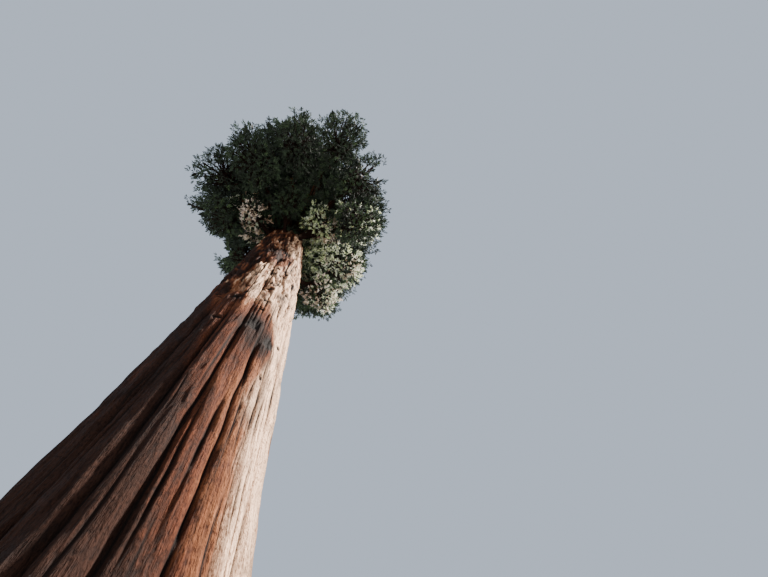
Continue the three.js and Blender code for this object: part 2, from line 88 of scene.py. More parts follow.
# The main furrows, which climb the bare trunk with its twist: direction at the ground in degrees, depth and
# half-width
FURROWS = (
    (9, 0.058, 0.084), (31, 0.05, 0.076), (55, 0.062, 0.088), (78, 0.052, 0.08), (103, 0.06, 0.084),
    (127, 0.05, 0.076), (150, 0.062, 0.09), (173, 0.054, 0.08), (197, 0.06, 0.086), (219, 0.05, 0.078),
    (241, 0.066, 0.092), (260, 0.068, 0.084), (281, 0.038, 0.062), (300, 0.046, 0.068), (322, 0.048, 0.074),
    (345, 0.05, 0.078),
)
FURROWS_FADE = (0.36 * HEIGHT, 0.5 * HEIGHT)

# Rings of masses of foliage from the lowest up. Half-lengths are given out from the trunk, across and up. A
# place is a direction in degrees, a reach from the trunk's axis and a height above the ring.
RINGS = (
    dict(name="skirt", boughs=False, height=15.65, half=(0.95, 0.9, 0.8), rise=0.5,
         places=((11, 3.2, -0.45), (160, 2.5, -0.15))),
    dict(name="collar", boughs=False, height=17.5, half=(0.9, 1.4, 0.8), rise=0.1,
         places=((204, 2.95, 0.05), (250, 3.15, -0.05), (297, 3.0, -0.15))),
    dict(name="low", boughs=True, height=17.65, half=(1.6, 1.5, 1.35), rise=-1.15,
         places=((182, 4.65, -0.05), (204, 5.6, 0.4), (228, 5.65, -0.15), (251, 6.25, 0.25),
                 (271, 6.9, -0.25), (289, 6.52, 0.15), (311, 5.05, -0.5), (344, 4.2, -0.55),
                 (27, 4.15, -0.15), (80, 4.4, 0.2), (132, 3.15, 0.1))),
    dict(name="wide", boughs=True, height=20.85, half=(2.15, 2.35, 2.15), rise=1.3,
         count=6, first=248, reach=4.95, swing=1.65, tuck=1.1),
    dict(name="middle", boughs=False, height=24.2, half=(2.35, 2.7, 2.35), rise=1.5,
         count=5, first=276, reach=5.25, swing=1.15, tuck=0.5),
    dict(name="high", boughs=False, height=27.6, half=(2.35, 2.8, 2.35), rise=1.5,
         count=4, first=310, reach=5.15, swing=0.6, tuck=0),
    dict(name="shoulder", boughs=False, height=30.7, half=(2.15, 2.5, 2.25), rise=1.3,
         count=4, first=262, reach=4.7, swing=0.3, tuck=0),
    dict(name="upper", boughs=False, height=33.6, half=(1.95, 2.45, 2.15), rise=1.1,
         count=3, first=330, reach=4.1, swing=0.1, tuck=0),
    dict(name="neck", boughs=False, height=35.9, half=(1.65, 2.2, 1.85), rise=0.9,
         count=2, first=250, reach=3.25, swing=0, tuck=0),
)
SWING_SIDE = 262
SWING_POWER = 1.5
TUCK_SIDE = 138
TUCK_POWER = 6
LAYOUT_SEED = 1858
HEIGHT_JITTER = 0.62
AZIMUTH_JITTER = 7
REACH_JITTER = 0.04
SIZE_JITTER = 0.08
TOP_HALF = (1.75, 1.75, 2.25)
WALL_GAP = 0.05
TRUNK_ROOM = 0.95
NEIGHBOUR_RANGE = 1.6

# Boughs, as in the solid model
HEART_SHARE = 0.86
BOUGH_ROOT_PULL = 0.42
BOUGH_TIP_PULL = 0.3
BOUGH_ROOT_RISE = 0.1
BOUGH_TIP_RISE = 0.12
BOUGH_ROOT_SAG = 0.048
BOUGH_SAG = 0.12
BOUGH_ROOT_SHARE = 0.034
BOUGH_TIP_SHARE = 0.55
BOUGH_COLLAR = 0.5
ROOT_STAGGER = 0.32
COLLAR_START = 0.18
COLLAR_LENGTH = 0.1
BEADS_PER_BOUGH = 24
STEM_SHARE = 0.9
STEM_PULL = 0.3
TRUNK_STEM_SHARE = 0.04

# The noises on a limb's skin: a seed, how many cells go round the limb, and how tall a cell is
NOISES = {
    "warp": (1, 8, 2.8),
    "fine_warp": (2, 40, 0.45),
    "rise": (3, 24, 1.4),
    "scales": (21, 40, 0.52),
    "fine_scales": (22, 96, 0.234),
    "bridges": (24, 16, 0.7),
    "slots": (25, 74, 0.27),
    "patches": (31, 9, 3.4),
    "fine_patches": (32, 26, 1.3),
    "blotches": (33, 40, 0.72),
    "fine_blotches": (34, 120, 0.36),
    "bough_furrows": (41, 9, 0.8),
    "bough_creases": (42, 21, 0.3),
    "bough_knobs": (43, 5, 0.45),
    "bough_patches": (44, 4, 0.9),
}
COARSE_SHARE = 0.6
FINE_SHARE = 0.4

# Bark relief: plates with sharp edges, from the broad ones to the small flakes. Each layer has a noise, and
# says how far its plates stand out and how sharp their edges are.
PLATE_LAYERS = (
    dict(noise=(11, 26, 1.9), height=0.011, sharp=3.5),
    dict(noise=(12, 66, 0.75), height=0.009, sharp=4.0),
    dict(noise=(13, 140, 0.26), height=0.006, sharp=3.0),
    dict(noise=(14, 190, 0.8), height=0.0045, sharp=1.5),
)
PLATE_EDGE_SHADE = 55
PLATE_EDGE_SHARP = 2.2
BARK_SUNK = 0.002
BARK_THINNEST = 0.25
WARP_TURN = 0.02
FINE_WARP = 0.3
WARP_RISE = 0.5
# The crack along the bottom of each main furrow, dark with painted shade: its half-width, its depth, how far
# it strays and how much its width varies. The noises of the furrows have one seed after another.
SEAM_HALF = 0.021
SEAM_DEPTH = 0.03
SEAM_STRAY = 0.02
SEAM_STRAY_NOISE = (50, 0.7)
SEAM_WIDTH = 0.45
SEAM_WIDTH_NOISE = (80, 0.5)
# The smaller furrows on the near side: foot, head, direction halfway up in degrees, half-width and depth
CRACKS = (
    (3.2, 5.0, 277.5, 0.026, 0.036), (3.9, 5.3, 290.5, 0.024, 0.034), (5.4, 6.5, 288, 0.02, 0.03),
    (6.9, 8.9, 292, 0.024, 0.034), (9.6, 11.7, 257, 0.026, 0.034), (4.9, 5.6, 295, 0.018, 0.028),
    (3.0, 4.2, 310, 0.022, 0.03), (2.6, 4.6, 269, 0.02, 0.028), (5.0, 7.6, 252, 0.022, 0.03),
    (6.8, 9.2, 281, 0.018, 0.026), (2.5, 3.7, 297, 0.018, 0.026), (7.4, 9.4, 300, 0.018, 0.026),
)
SCATTERED_CRACKS = 420
CRACK_FEET = (-0.4, CROWN_FOOT + 1)
CRACK_LENGTH = (0.5, 2.4)
CRACK_HALF = (0.01, 0.02)
CRACK_DEPTH = (0.01, 0.026)
CRACK_END_WIDTH = 0.3
CRACK_STRAY = 0.016
CRACK_PHASE = 0.37
CRACK_REACH = 0.12
# Above the smooth part of the bare trunk the bark breaks crosswise into ragged scales, with slots between
SCALES_FROM = 6.8
SCALES_TO = 9.8
SCALE_DEPTH = 0.036
SCALE_SWELL = 0.8
SCALE_SHARP = 3
FINE_SCALES = 0.7
BREAK_LEVEL = 0.35
BREAK_WIDE = 0.17
BREAK_SHADE = 0.7
SLOT_LEVEL = 0.62
SLOT_WIDE = 0.2
SLOT_DEPTH = 0.03
# How much of the main furrows the scales close over
BRIDGED = 0.8
BRIDGE_NOISE = 1.2
BRIDGE_FILL = 0.85
# Branch scars and slots on the near side: height, direction in degrees, half-width, half-height and depth
SCARS = (
    (9.1, 278.5, 0.075, 0.07, 0.06), (8.3, 280.5, 0.09, 0.07, 0.06), (7.75, 278, 0.05, 0.06, 0.05),
    (6.98, 277, 0.12, 0.2, 0.035), (6.62, 297.5, 0.11, 0.18, 0.035), (6.95, 242, 0.07, 0.06, 0.05),
    (9.5, 304, 0.1, 0.07, 0.055), (11.2, 298, 0.06, 0.07, 0.05), (5.65, 300, 0.04, 0.06, 0.04),
    (10.6, 283, 0.05, 0.08, 0.05), (10.85, 276, 0.05, 0.08, 0.05), (12.6, 315, 0.09, 0.08, 0.055),
    (12.3, 291, 0.1, 0.07, 0.055), (8.0, 247, 0.09, 0.1, 0.06), (8.3, 253, 0.05, 0.08, 0.05),
    (13.4, 268, 0.08, 0.07, 0.05), (14.3, 300, 0.09, 0.07, 0.05), (14.9, 284, 0.08, 0.07, 0.05),
)
# Scars scattered all round, between two heights and thicker towards the upper one
SCATTERED_SCARS = 110
SCATTERED_BETWEEN = (6.0, CROWN_FOOT + 1.5)
SCATTERED_POWER = 0.6
SCAR_HALF = (0.03, 0.075)
SCAR_FLATNESS = (0.5, 0.9)
SCAR_DEPTH_SHARE = 0.5
# A scar's shape in its own half-widths: how far out it is worked out, its slant, its rim and how far its
# painted shade reaches
SCAR_SPAN = 4
SCAR_SLANT = 0.25
SCAR_SLANT_RATE = 50
SCAR_RIM = 0.2
SCAR_RIM_AT = 1.6
SCAR_RIM_WIDE = 0.5
SCAR_DARK = 1.2
# Rounded swellings round the largest scars, darkened by painted shadow: height, direction in degrees,
# half-width, half-height and how far they stand out
BOSSES = ((6.86, 276, 0.2, 0.5, 0.03), (6.55, 298, 0.2, 0.45, 0.03), (8.0, 249, 0.16, 0.3, 0.03))
# How dark the painted shadow on and round the swellings is
BOSS_SHADE = 0.6
PATCH_MIDDLE = 0.5
PATCH_SPREAD = 0.42
BLOTCH = 0.95
# The bark on the side that faces the key light is lighter with painted sunlight, most between two heights and
# fading below the crown where its shadow falls, with a strip of it almost white. The side away from the key
# light is dark with painted shade, and so is the near side's foot. Each side is given as its direction in
# degrees and a power that narrows it.
PAINTED_SUN_RISES = (7.0, 8.4)
PAINTED_SUN_ENDS = (10.2, 12.4)
PAINTED_SUN_LOW = 0.5
PAINTED_SUN_HIGH = 2.0
PAINTED_SUN_SIDE = (310, 2.4)
PAINTED_SUN_STRIP = 0.5
PAINTED_SUN_STRIP_SIDE = (321, 30)
PAINTED_SHADE_SIDE = (205, 2)
PAINTED_FOOT_SHADE = 0.75
PAINTED_FOOT_SHADE_SIDE = (262, 8)
PAINTED_FOOT_SHADE_FADE = (5.2, 2.6)

# The trunk's skin is made in bands that share their edges: where each starts, its columns and its rows
TRUNK_BANDS = (
    ("trunk_foot", 0.0, 576, 104),
    ("trunk_lower", 3.0, 576, 152),
    ("trunk_middle", 8.2, 576, 106),
    ("trunk_upper", 12.6, 576, 92),
    ("trunk_crown", 17.8, 288, 76),
)
BAND_LAP = 0.03
LAP_SUNK = 0.0005

BOUGH_SIDES = 32
BOUGH_ROWS = 72
BOUGH_SUNK = 0.12
BOUGH_STEPS = 400
BOUGH_SPIRAL = 0.2
BOUGH_SHIFT = 20
BOUGH_FURROW_WIDE = 0.25
BOUGH_CREASE_WIDE = 0.3
BOUGH_CREASE = 0.7
BOUGH_KNOBS = 0.5
BOUGH_LEVEL = 0.4

# Sprays of needles: how many blades and faces each has, and a blade's waist, width, keel, lean, lengths and
# place along the spray
GOLDEN = math.pi * (3 - math.sqrt(5))
BLADES_PER_SPRAY = 9
FACES_PER_BLADE = 4
SPRAY_KINDS = 6
SPRAY_SEED = 500
SEED_STEP = 7
BLADE_WAIST = 0.52
BLADE_WIDTH = 0.3
BLADE_KEEL = 0.1
BLADE_LEAN = 1.05
BLADE_LONGEST = 0.62
BLADE_SHORTEST = 0.42
BLADE_SPREAD = (0.85, 1.1)
BLADE_RUN = 0.6
BLADE_SCATTER = 0.1
BLADE_TURN_SCATTER = 0.25
# The most faces that one piece of needles may have
PIECE_FACES = 190000

# Where foliage may stand. The skin, the tip's limit and the buried depth are shares of the way from a mass's
# centre to its skin, and the others are distances.
SKIN = 0.97
TIP_LIMIT = 1.0
WALL_SLACK = 0.06
BOX_MARGIN = 0.2
LIMB_MARGIN = 0.05
BURIED_STEP = 0.45
BURIED_DEPTH = 0.93
BURIED_AT_TRUNK = 0.25
NEAR_MASS = 8
# A mass's skin swells and sinks in a few broad waves
SWELL_MEAN = 0.95
SWELL = 0.16
SWELL_WAVES = 5.2
# The clumps of the topmost mass that point up more steeply than this reach its full height
TIP_RISE = 0.72
TOP_COVER = 1.9
# The sizes of clumps as shares of their usual radius, the small ones oftener than the large ones
CLUMP_SIZES = (0.6, 0.75, 0.9, 1.0, 1.3)
CLUMP_SPREAD = (0.85, 1.15)
CLUMP_LIMIT = 0.42
CLUMP_SCATTER = 0.1
CLUMP_OUTMOST = 1.02
CLUMP_BACK = -0.4
HEART_BACK = 0.9
AROUND_SCATTER = 0.16
BUMPS = (0.5, 1.0)
NEEDLE_SPREAD = (0.9, 1.12)
SPRAY_SPREAD = (0.85, 1.2)
SIZE_SPREAD = (0.8, 1.2)
HEADING_OUT = 0.35
HEADING_SCATTER = 0.25
# Clumps sunk in other masses have fewer and longer sprays
HIDDEN_CLUMP = 1.3
HIDDEN_LIMIT = 0.45
HIDDEN_SPRAY = 1.55
HIDDEN_COVER = 0.3
HIDDEN_BACK = -0.15
# Stems, twigs to the clumps and side twigs: points, tapers, radii, and how twigs leave the stem and sway
STEM_POINTS = 7
STEM_TAPER = 0.6
TWIG_FEET = (0.45, 1.0)
TWIG_SWAY = 0.12
TWIG_BEND = 0.4
TWIG_RADII = (0.04, 0.028, 0.018)
TWIG_GROWTH = 0.6
SIDE_TWIG_RADII = (0.012, 0.005)
LONG_TWIG_RADII = (0.016, 0.006)
# Where the sprays that close the gaps stand, as shares of their mass's skin and of its reach
BETWEEN_SKIN = (0.9, 1.45)
BETWEEN_SHARE = 0.97
BETWEEN_SHARE_LOW = 0.8
BETWEEN_RISE = 2.8
BETWEEN_SPRAY = 1.45
BETWEEN_SCATTER = 0.5
BETWEEN_TINTS = (0.4, 0.42, 0.18)
BETWEEN_TWIGS = 3
BETWEEN_FOOT = 0.5
# The dark sprays inside a mass
SHADE_PLACES = (0.3, 0.7)
SHADE_SIZE = 0.7
SHADE_LIMIT = 0.5
SHADE_SCATTER = 0.5
SHADE_DEPTH = 0.92
# The twigs along a bough
BOUGH_BARE = 0.12
BOUGH_TWIG_AHEAD = 0.5
BOUGH_TWIG_LENGTH = (0.25, 0.75)
BOUGH_TWIG_SPRAYS = (3, 6)
BOUGH_SPRAY_PLACES = (0.35, 1)
BOUGH_SPRAY_SCATTER = 0.55
BOUGH_SPRAY_ROOM = 0.1
BOUGH_SPRAY = 1.7
DENSE_BOUGHS = {"low_8": 2.4, "low_9": 2.4}
# The share of clumps that stand on the masses that the sky shows through
OPEN_MASSES = {"skirt_2": 0.45, "low_11": 0.6, "low_1": 0.78, "low_2": 0.85, "low_6": 0.8, "low_7": 0.85}
# The sprays are finer on the light masses at the crown's foot
SPRAY_SIZES = {"low_7": 0.82, "low_8": 0.82, "collar_3": 0.82, "skirt_1": 0.82, "collar_1": 0.85}

# The tints of the needles, in the order that they are dealt from, and those that let the sun through
TINTS = ("shade", "deep", "green", "fresh", "sunny", "grey", "brown", "straw")
LIT_THROUGH = ("sunny", "grey", "brown", "straw")
LIT_SHARE = 0.6
LIT_DEPTH = 0.06
LIT_RADII = (1.0, 1.0, 0.7)
# The share of a clump's sprays that take the clump's own tint
CLUMP_TINTED = 0.6
# How likely each tint is: for the sprays along a bough, mostly the dark tints of painted shade, dead and dry on
# some of those named, and brighter with painted light on low_8 and low_9
BOUGH_TINTS = {
    "low_1": (0.1, 0.05, 0, 0, 0, 0.1, 0.2, 0.55),
    "low_2": (0.4, 0.3, 0.06, 0, 0, 0.06, 0.1, 0.08),
    "low_7": (0.2, 0.2, 0, 0, 0, 0.2, 0.2, 0.2),
    "low_8": (0.02, 0.06, 0.14, 0.22, 0.26, 0.3, 0, 0),
    "low_9": (0.04, 0.08, 0.14, 0.16, 0.14, 0.28, 0.12, 0.04),
    "other": (0.55, 0.35, 0.1, 0, 0, 0, 0, 0),
}
# How likely each tint is for the sprays of a mass, by what the spray is. Buried sprays and sprays that head
# down get painted shade, darker tints. On the light masses and the dead one, sprays that head away from the key
# light, whose undersides the camera sees, get painted light, the brightest tints, and those that head towards
# it are the greener ones.
MASS_TINTS = {
    "buried": (0.6, 0.32, 0.08, 0, 0, 0, 0, 0),
    "light, buried": (0.06, 0.16, 0.24, 0.2, 0.18, 0.16, 0, 0),
    "dead, sunward": (0.12, 0.18, 0.2, 0.16, 0.04, 0.06, 0.24, 0),
    "dead": (0.08, 0.1, 0.12, 0.1, 0.06, 0.12, 0.36, 0.06),
    "above the dead": (0.08, 0.22, 0.28, 0.22, 0.08, 0.12, 0, 0),
    "straw": (0.02, 0.05, 0.03, 0, 0, 0.14, 0.22, 0.54),
    "above the straw": (0.2, 0.44, 0.3, 0.06, 0, 0, 0, 0),
    "underside, sunward": (0.04, 0.14, 0.22, 0.26, 0.16, 0.12, 0.06, 0),
    "underside": (0.02, 0.06, 0.1, 0.12, 0.28, 0.3, 0.1, 0.02),
    "outer": (0.06, 0.18, 0.28, 0.26, 0.1, 0.12, 0, 0),
    "light, sunward": (0, 0.08, 0.22, 0.3, 0.24, 0.16, 0, 0),
    "light": (0, 0.01, 0.04, 0.13, 0.44, 0.38, 0, 0),
    "half shade": (0.2, 0.36, 0.32, 0.12, 0, 0, 0, 0),
    "heading down": (0.3, 0.46, 0.24, 0, 0, 0, 0, 0),
    "heading up": (0.1, 0.3, 0.38, 0.22, 0, 0, 0, 0),
}
SUNWARD = np.array([0.65, -0.35, 0.68])
SUNWARD_SHARE = 0.1
OUTER_HALF = 0.35
DEAD_RISE = 0.1
STRAW_RISE = 0.1
STRAW_TURN = 0.5
UNDERSIDE_DROP = 0.3

# The bark's materials on the trunk, boughs and twigs: how fine the fibres are, and how light the bark is
TRUNK_GRAIN = (21.0, 1.0)
BOUGH_GRAIN = (34.0, 0.45)
TWIG_GRAIN = (60.0, 0.6)
# Each grain in the bark: its noise across and up as shares of the fibres, its detail and its roughness
GRAINS = {
    "streaks": (1.5, 1 / 8, 5.0, 0.62),
    "flecks": (1 / 3.5, 1 / 11, 6.0, 0.72),
    "specks": (2.4, 1, 3.0, 0.6),
}
PATCH_TONE = 0.6
FLECK_TONE = 0.55
BARK_STOPS = (0.3, 0.48, 0.64, 0.8, 0.98)
STREAK_TONES = ((0.3, (0.6, 0.55, 0.52)), (0.5, (0.97, 0.95, 0.93)), (0.7, (1.25, 1.2, 1.15)))
STREAK_SHARE = 0.9
PIT_TONES = ((0.37, (0.4, 0.35, 0.33)), (0.5, (1, 1, 1)), (0.72, (1.2, 1.2, 1.2)))
PIT_SHARE = 0.85
# How the painted shade comes in with depth in a furrow and nearness to a scar's hollow
FURROW_EDGE = ((0.25, (0, 0, 0)), (0.9, (1, 1, 1)))
SCAR_SHADE_EDGE = ((0.2, (0, 0, 0)), (0.8, (1, 1, 1)))
BARK_ROUGHNESS = ((0.3, (0.78, 0.78, 0.78)), (0.7, (0.97, 0.97, 0.97)))
BARK_SPECULAR = 0.1
STREAK_HEIGHT = 1.5
SPECK_HEIGHT = 0.5
GRAIN_STRENGTH = 0.8
NEEDLE_ROUGHNESS = 0.68
NEEDLE_SPECULAR = 0.18
FLOOR_ROUGHNESS = 0.9
FLOOR_SIDES = 96
FLOOR_SUNK = 0.004
KEY_COLOUR = (1.0, 0.95, 0.88)

# The named numbers that points carry for the geometry trees
TREE_NUMBERS = ("turn", "size", "kind", "tint", "radius")
# The sockets that compare whole numbers and mix colours, by number, because other sockets share their names
COMPARE_FIRST = 2
COMPARE_SECOND = 3
MIX_INPUTS = (0, 6, 7)
MIX_RESULT = 2
# The pieces of twigs: sides, and whether their runs have only two points
TWIG_KINDS = (("stems", 4, False), ("side_twigs", 3, True))

# The picture that sets the camera: its size, the point that upright lines run to, and the distance of its
# plane, all in pixels, and the direction of the tree's foot from the camera, turned from the picture's right
PICTURE_WIDTH = 768
PICTURE_HEIGHT = 577
ZENITH_ACROSS = 325
ZENITH_DOWN = 173
FOCAL_PIXELS = 355
FOOT_TURN = 120.5
EYE_HEIGHT = 0.914
EYE_DISTANCE = 3.886
SENSOR_WIDTH = 36.0
CLIP_END = 600
# Where the picture shows sky between the masses: across, down and radius in pixels. No spray stands there.
SKY_OPENINGS = (
    (381, 173, 8), (384, 187, 4), (366, 167, 4), (346, 198, 5), (338, 107, 4), (350, 110, 4), (282, 116, 6),
    (272, 116, 3), (260, 122, 3), (209, 142, 5), (200, 149, 6), (191, 159, 4), (183, 211, 6), (197, 216, 5),
    (206, 246, 5), (199, 231, 8), (208, 238, 6), (217, 244, 8), (224, 253, 5), (248, 251, 5),
)


def smooth_share(x):
    x = np.clip(x, 0, 1)
    return x * x * (3 - 2 * x)


def rise_share(x, start, end):
    """A smooth rise from 0 at the start to 1 at the end, which may be the lower of the two."""
    return smooth_share((x - start) / (end - start))


def bump(x):
    return np.exp(-(x**2))


def unit(vectors):
    return vectors / np.maximum(np.linalg.norm(vectors, axis=-1, keepdims=True), 1e-9)


def seeded(seed):
    """A repeatable run of numbers from 0 to 1, the one that laid out the solid model."""
    state = seed
    while True:
        state = (state * 1664525 + 1013904223) % 4294967296
        yield state / 4294967296


def between(draw, spread):
    return spread * (2 * next(draw) - 1)


# The tree's plan

def waves(rows, angle):
    return sum(share * np.cos(count * angle + start) for count, share, start in rows)


def axis_at(z):
    share = (np.maximum(z, 0) / HEIGHT) ** LEAN_POWER
    return LEAN[0] * share, LEAN[1] * share


def shaft_radius(z):
    up = (z - CROWN_FOOT) / (TRUNK_TIP - CROWN_FOOT)
    lower = SHAFT_RADIUS - SHAFT_NARROWS * (np.maximum(z, 0) / CROWN_FOOT) ** SHAFT_NARROW_POWER
    crown_radius = SHAFT_RADIUS - SHAFT_NARROWS
    upper = TIP_RADIUS + (crown_radius - TIP_RADIUS) * np.clip(1 - up, 0, 1) ** CROWN_TAPER_POWER
    return np.where(up <= 0, lower, upper)


def apart(angle, centre):
    """The turn from one direction to another, at most half a turn either way."""
    return (angle - centre + math.pi) % TAU - math.pi


def furrow_fade(z):
    return np.clip((FURROWS_FADE[1] - z) / (FURROWS_FADE[1] - FURROWS_FADE[0]), 0, 1)


def furrow_depth(z, angle):
    """How deep the nearest main furrow is cut, as in the solid model."""
    fade = furrow_fade(z)
    deepest = 0.0
    for degrees, depth, half in FURROWS:
        away = SHAFT_RADIUS * np.abs(apart(angle, math.radians(degrees) + TWIST * z))
        deepest = np.maximum(deepest, fade * depth * np.maximum(1 - away / half, 0))
    return deepest


def trunk_radius(z, angle):
    """The solid trunk's radius in a direction at a height, before its bark's relief."""
    shaft = shaft_radius(z)
    flare = FLARE_WIDTH * np.exp(-z / FLARE_HEIGHT)
    buttress = flare * BUTTRESS_SHARE * waves(BUTTRESS_WAVES, angle)
    ribs = RIB_DEPTH * (shaft / SHAFT_RADIUS) * waves(RIB_WAVES, angle - TWIST * z)
    return shaft + flare + buttress + ribs - furrow_depth(z, angle)


def from_axis(points):
    """How far points stand from the trunk's axis, and in which directions."""
    across, along = axis_at(points[:, 2])
    x = points[:, 0] - across
    y = points[:, 1] - along
    return np.hypot(x, y), np.arctan2(y, x)


class Mass:
    """One mass of foliage: an ellipsoid with flat walls towards its neighbours, on a bough or the trunk."""

    def __init__(self, name, on_bough, degrees, half, centre, root, reach):
        turn = math.radians(degrees)
        self.name = name
        self.on_bough = on_bough
        self.degrees = degrees % 360
        out = (math.cos(turn), math.sin(turn), 0)
        self.axes = np.array([out, (-out[1], out[0], 0), (0, 0, 1)])
        self.half = np.array(half)
        self.centre = np.array(centre)
        self.root = np.array(root)
        self.reach = reach
        self.walls = []

    def radius_toward(self, direction):
        return 1 / np.linalg.norm((self.axes @ direction) / self.half)

    def depth(self, points):
        """How far out of the mass each point is: 0 at its centre and 1 on its skin."""
        return np.linalg.norm(((points - self.centre) @ self.axes.T) / self.half, axis=-1)

    def inside_walls(self, points, slack=0.0):
        room = np.ones(len(points), bool)
        for normal, offset in self.walls:
            room &= (points - self.centre) @ normal < offset + slack
        return room

    def spokes(self, directions, limit):
        """For directions in the mass's own axes, the vectors from its centre to its skin or nearest wall."""
        spokes = (directions * self.half) @ self.axes
        share = np.full(len(spokes), limit)
        for normal, offset in self.walls:
            run = spokes @ normal
            share = np.where(run > 1e-6, np.minimum(share, offset / np.maximum(run, 1e-6)), share)
        return spokes * share[:, None]


def swing(ring, degrees):
    facing = max(0, math.cos(math.radians(degrees - SWING_SIDE)))
    hidden = max(0, math.cos(math.radians(degrees - TUCK_SIDE)))
    return ring["swing"] * facing**SWING_POWER - ring["tuck"] * hidden**TUCK_POWER


def places_of(ring):
    if "places" in ring:
        return ring["places"]
    turns = [ring["first"] + k * 360 / ring["count"] for k in range(ring["count"])]
    return [(degrees, ring["reach"] + swing(ring, degrees), 0) for degrees in turns]


@functools.lru_cache
def crown_plan():
    """Every mass of foliage, by the same rule and the same draws as the solid model's."""
    draw = seeded(LAYOUT_SEED)
    plan = []
    for ring in RINGS:
        loose = 0 if "places" in ring else 1
        for k, (direction, outward, lift) in enumerate(places_of(ring)):
            degrees = direction + (between(draw, AZIMUTH_JITTER) if loose else 0)
            height = ring["height"] + lift + (between(draw, HEIGHT_JITTER) if loose else 0)
            reach = outward * (1 + (between(draw, REACH_JITTER) if loose else 0))
            room = 0.5 * (reach - TRUNK_ROOM * float(trunk_radius(height, 0)))
            size = min(1 + between(draw, SIZE_JITTER), room / ring["half"][0])
            swell = math.sqrt(size)
            half = (ring["half"][0] * size, ring["half"][1] * swell, ring["half"][2] * swell)
            out = (math.cos(math.radians(degrees)), math.sin(math.radians(degrees)))
            foot = axis_at(height)
            centre = (foot[0] + out[0] * (reach - half[0]), foot[1] + out[1] * (reach - half[0]), height)
            stagger = ROOT_STAGGER * math.cos(k * math.pi)
            root_height = ring["height"] - ring["rise"] + stagger if ring["boughs"] else height - ring["rise"]
            root = (*axis_at(root_height), root_height)
            name = f"{ring['name']}_{k + 1}"
            plan.append(Mass(name, ring["boughs"], degrees, half, centre, root, reach))
    tip = axis_at(TRUNK_TIP)
    centre = (*tip, HEIGHT - TOP_HALF[2])
    plan.append(Mass("top", False, 0, TOP_HALF, centre, (*tip, TRUNK_TIP), TOP_HALF[0]))
    for mass in plan:
        for other in plan:
            if other is mass:
                continue
            normal = other.centre - mass.centre
            distance = np.linalg.norm(normal)
            normal = normal / distance
            own = mass.radius_toward(normal)
            theirs = other.radius_toward(normal)
            if distance <= NEIGHBOUR_RANGE * (own + theirs):
                mass.walls.append((normal, distance * own / (own + theirs) - WALL_GAP))
    return plan


def bough_handles(mass):
    """The four points of a bough's curve, from the trunk's axis to the near side of its mass's heart."""
    inward = unit(mass.root - mass.centre)
    end = mass.centre + inward * HEART_SHARE * mass.radius_toward(inward)
    out = mass.axes[0]
    span = end - mass.root
    level = span @ out
    first = mass.root + out * BOUGH_ROOT_PULL * level
    first[2] += BOUGH_ROOT_RISE * span[2] - BOUGH_ROOT_SAG * level
    second = end - out * BOUGH_TIP_PULL * level
    second[2] -= BOUGH_SAG * level + BOUGH_TIP_RISE * span[2]
    return np.array([mass.root, first, second, end])


def stem_handles(mass):
    """The four points of the curve of a mass's stem, from its bough's tip or the trunk to its centre."""
    if mass.on_bough:
        handles = bough_handles(mass)
        start = handles[3]
        heading = unit(handles[3] - handles[2])
    else:
        start = mass.root
        heading = unit(mass.centre - mass.root)
    pull = STEM_PULL * np.linalg.norm(mass.centre - start)
    return np.array([start, start + heading * pull, mass.centre - heading * pull, mass.centre])


def on_curve(handles, t):
    t = np.asarray(t, float)[:, None]
    s = 1 - t
    return s**3 * handles[0] + 3 * s * s * t * handles[1] + 3 * s * t * t * handles[2] + t**3 * handles[3]


def curve_heading(handles, t):
    t = np.asarray(t, float)[:, None]
    s = 1 - t
    legs = np.diff(handles, axis=0)
    return unit(s * s * legs[0] + 2 * s * t * legs[1] + t * t * legs[2])


def bough_radius(mass, t):
    collar = 1 + BOUGH_COLLAR * np.exp(-np.maximum(t - COLLAR_START, 0) / COLLAR_LENGTH)
    return BOUGH_ROOT_SHARE * mass.reach * collar * (1 - (1 - BOUGH_TIP_SHARE) * t)


@functools.lru_cache
def limb_beads():
    """Points along all the boughs with their radii, to keep foliage off them."""
    t = np.linspace(0, 1, BEADS_PER_BOUGH + 1)
    boughs = [mass for mass in crown_plan() if mass.on_bough]
    points = np.concatenate([on_curve(bough_handles(mass), t) for mass in boughs])
    return points, np.concatenate([bough_radius(mass, t) for mass in boughs])


def clear_of_limbs(points):
    """Which points keep off the trunk and the boughs."""
    away, direction = from_axis(points)
    trunk = trunk_radius(np.clip(points[:, 2], 0, TRUNK_TIP), direction)
    clear = (away > trunk + LIMB_MARGIN) | (points[:, 2] > TRUNK_TIP + LIMB_MARGIN)
    beads, radii = limb_beads()
    gaps = np.linalg.norm(points[:, None, :] - beads[None, :, :], axis=-1) - radii
    return clear & (gaps.min(axis=1) > LIMB_MARGIN)


# Meshes

def mesh_of(name, points, face_sets, shares=None):
    """A smooth mesh from points and arrays of faces, with named numbers for each point."""
    mesh = bpy.data.meshes.new(name)
    mesh.vertices.add(len(points))
    mesh.vertices.foreach_set("co", np.asarray(points, np.float32).ravel())
    corners = np.concatenate([faces.ravel() for faces in face_sets])
    counts = np.concatenate([np.full(len(faces), faces.shape[1]) for faces in face_sets])
    mesh.loops.add(len(corners))
    mesh.loops.foreach_set("vertex_index", corners.astype(np.int32))
    mesh.polygons.add(len(counts))
    starts = np.concatenate([[0], np.cumsum(counts)[:-1]])
    mesh.polygons.foreach_set("loop_start", starts.astype(np.int32))
    mesh.update(calc_edges=True)
    mesh.polygons.foreach_set("use_smooth", np.ones(len(counts), bool))
    for label, values in (shares or {}).items():
        attribute = mesh.attributes.new(label, "FLOAT", "POINT")
        attribute.data.foreach_set("value", np.asarray(values, np.float32).ravel())
    return mesh


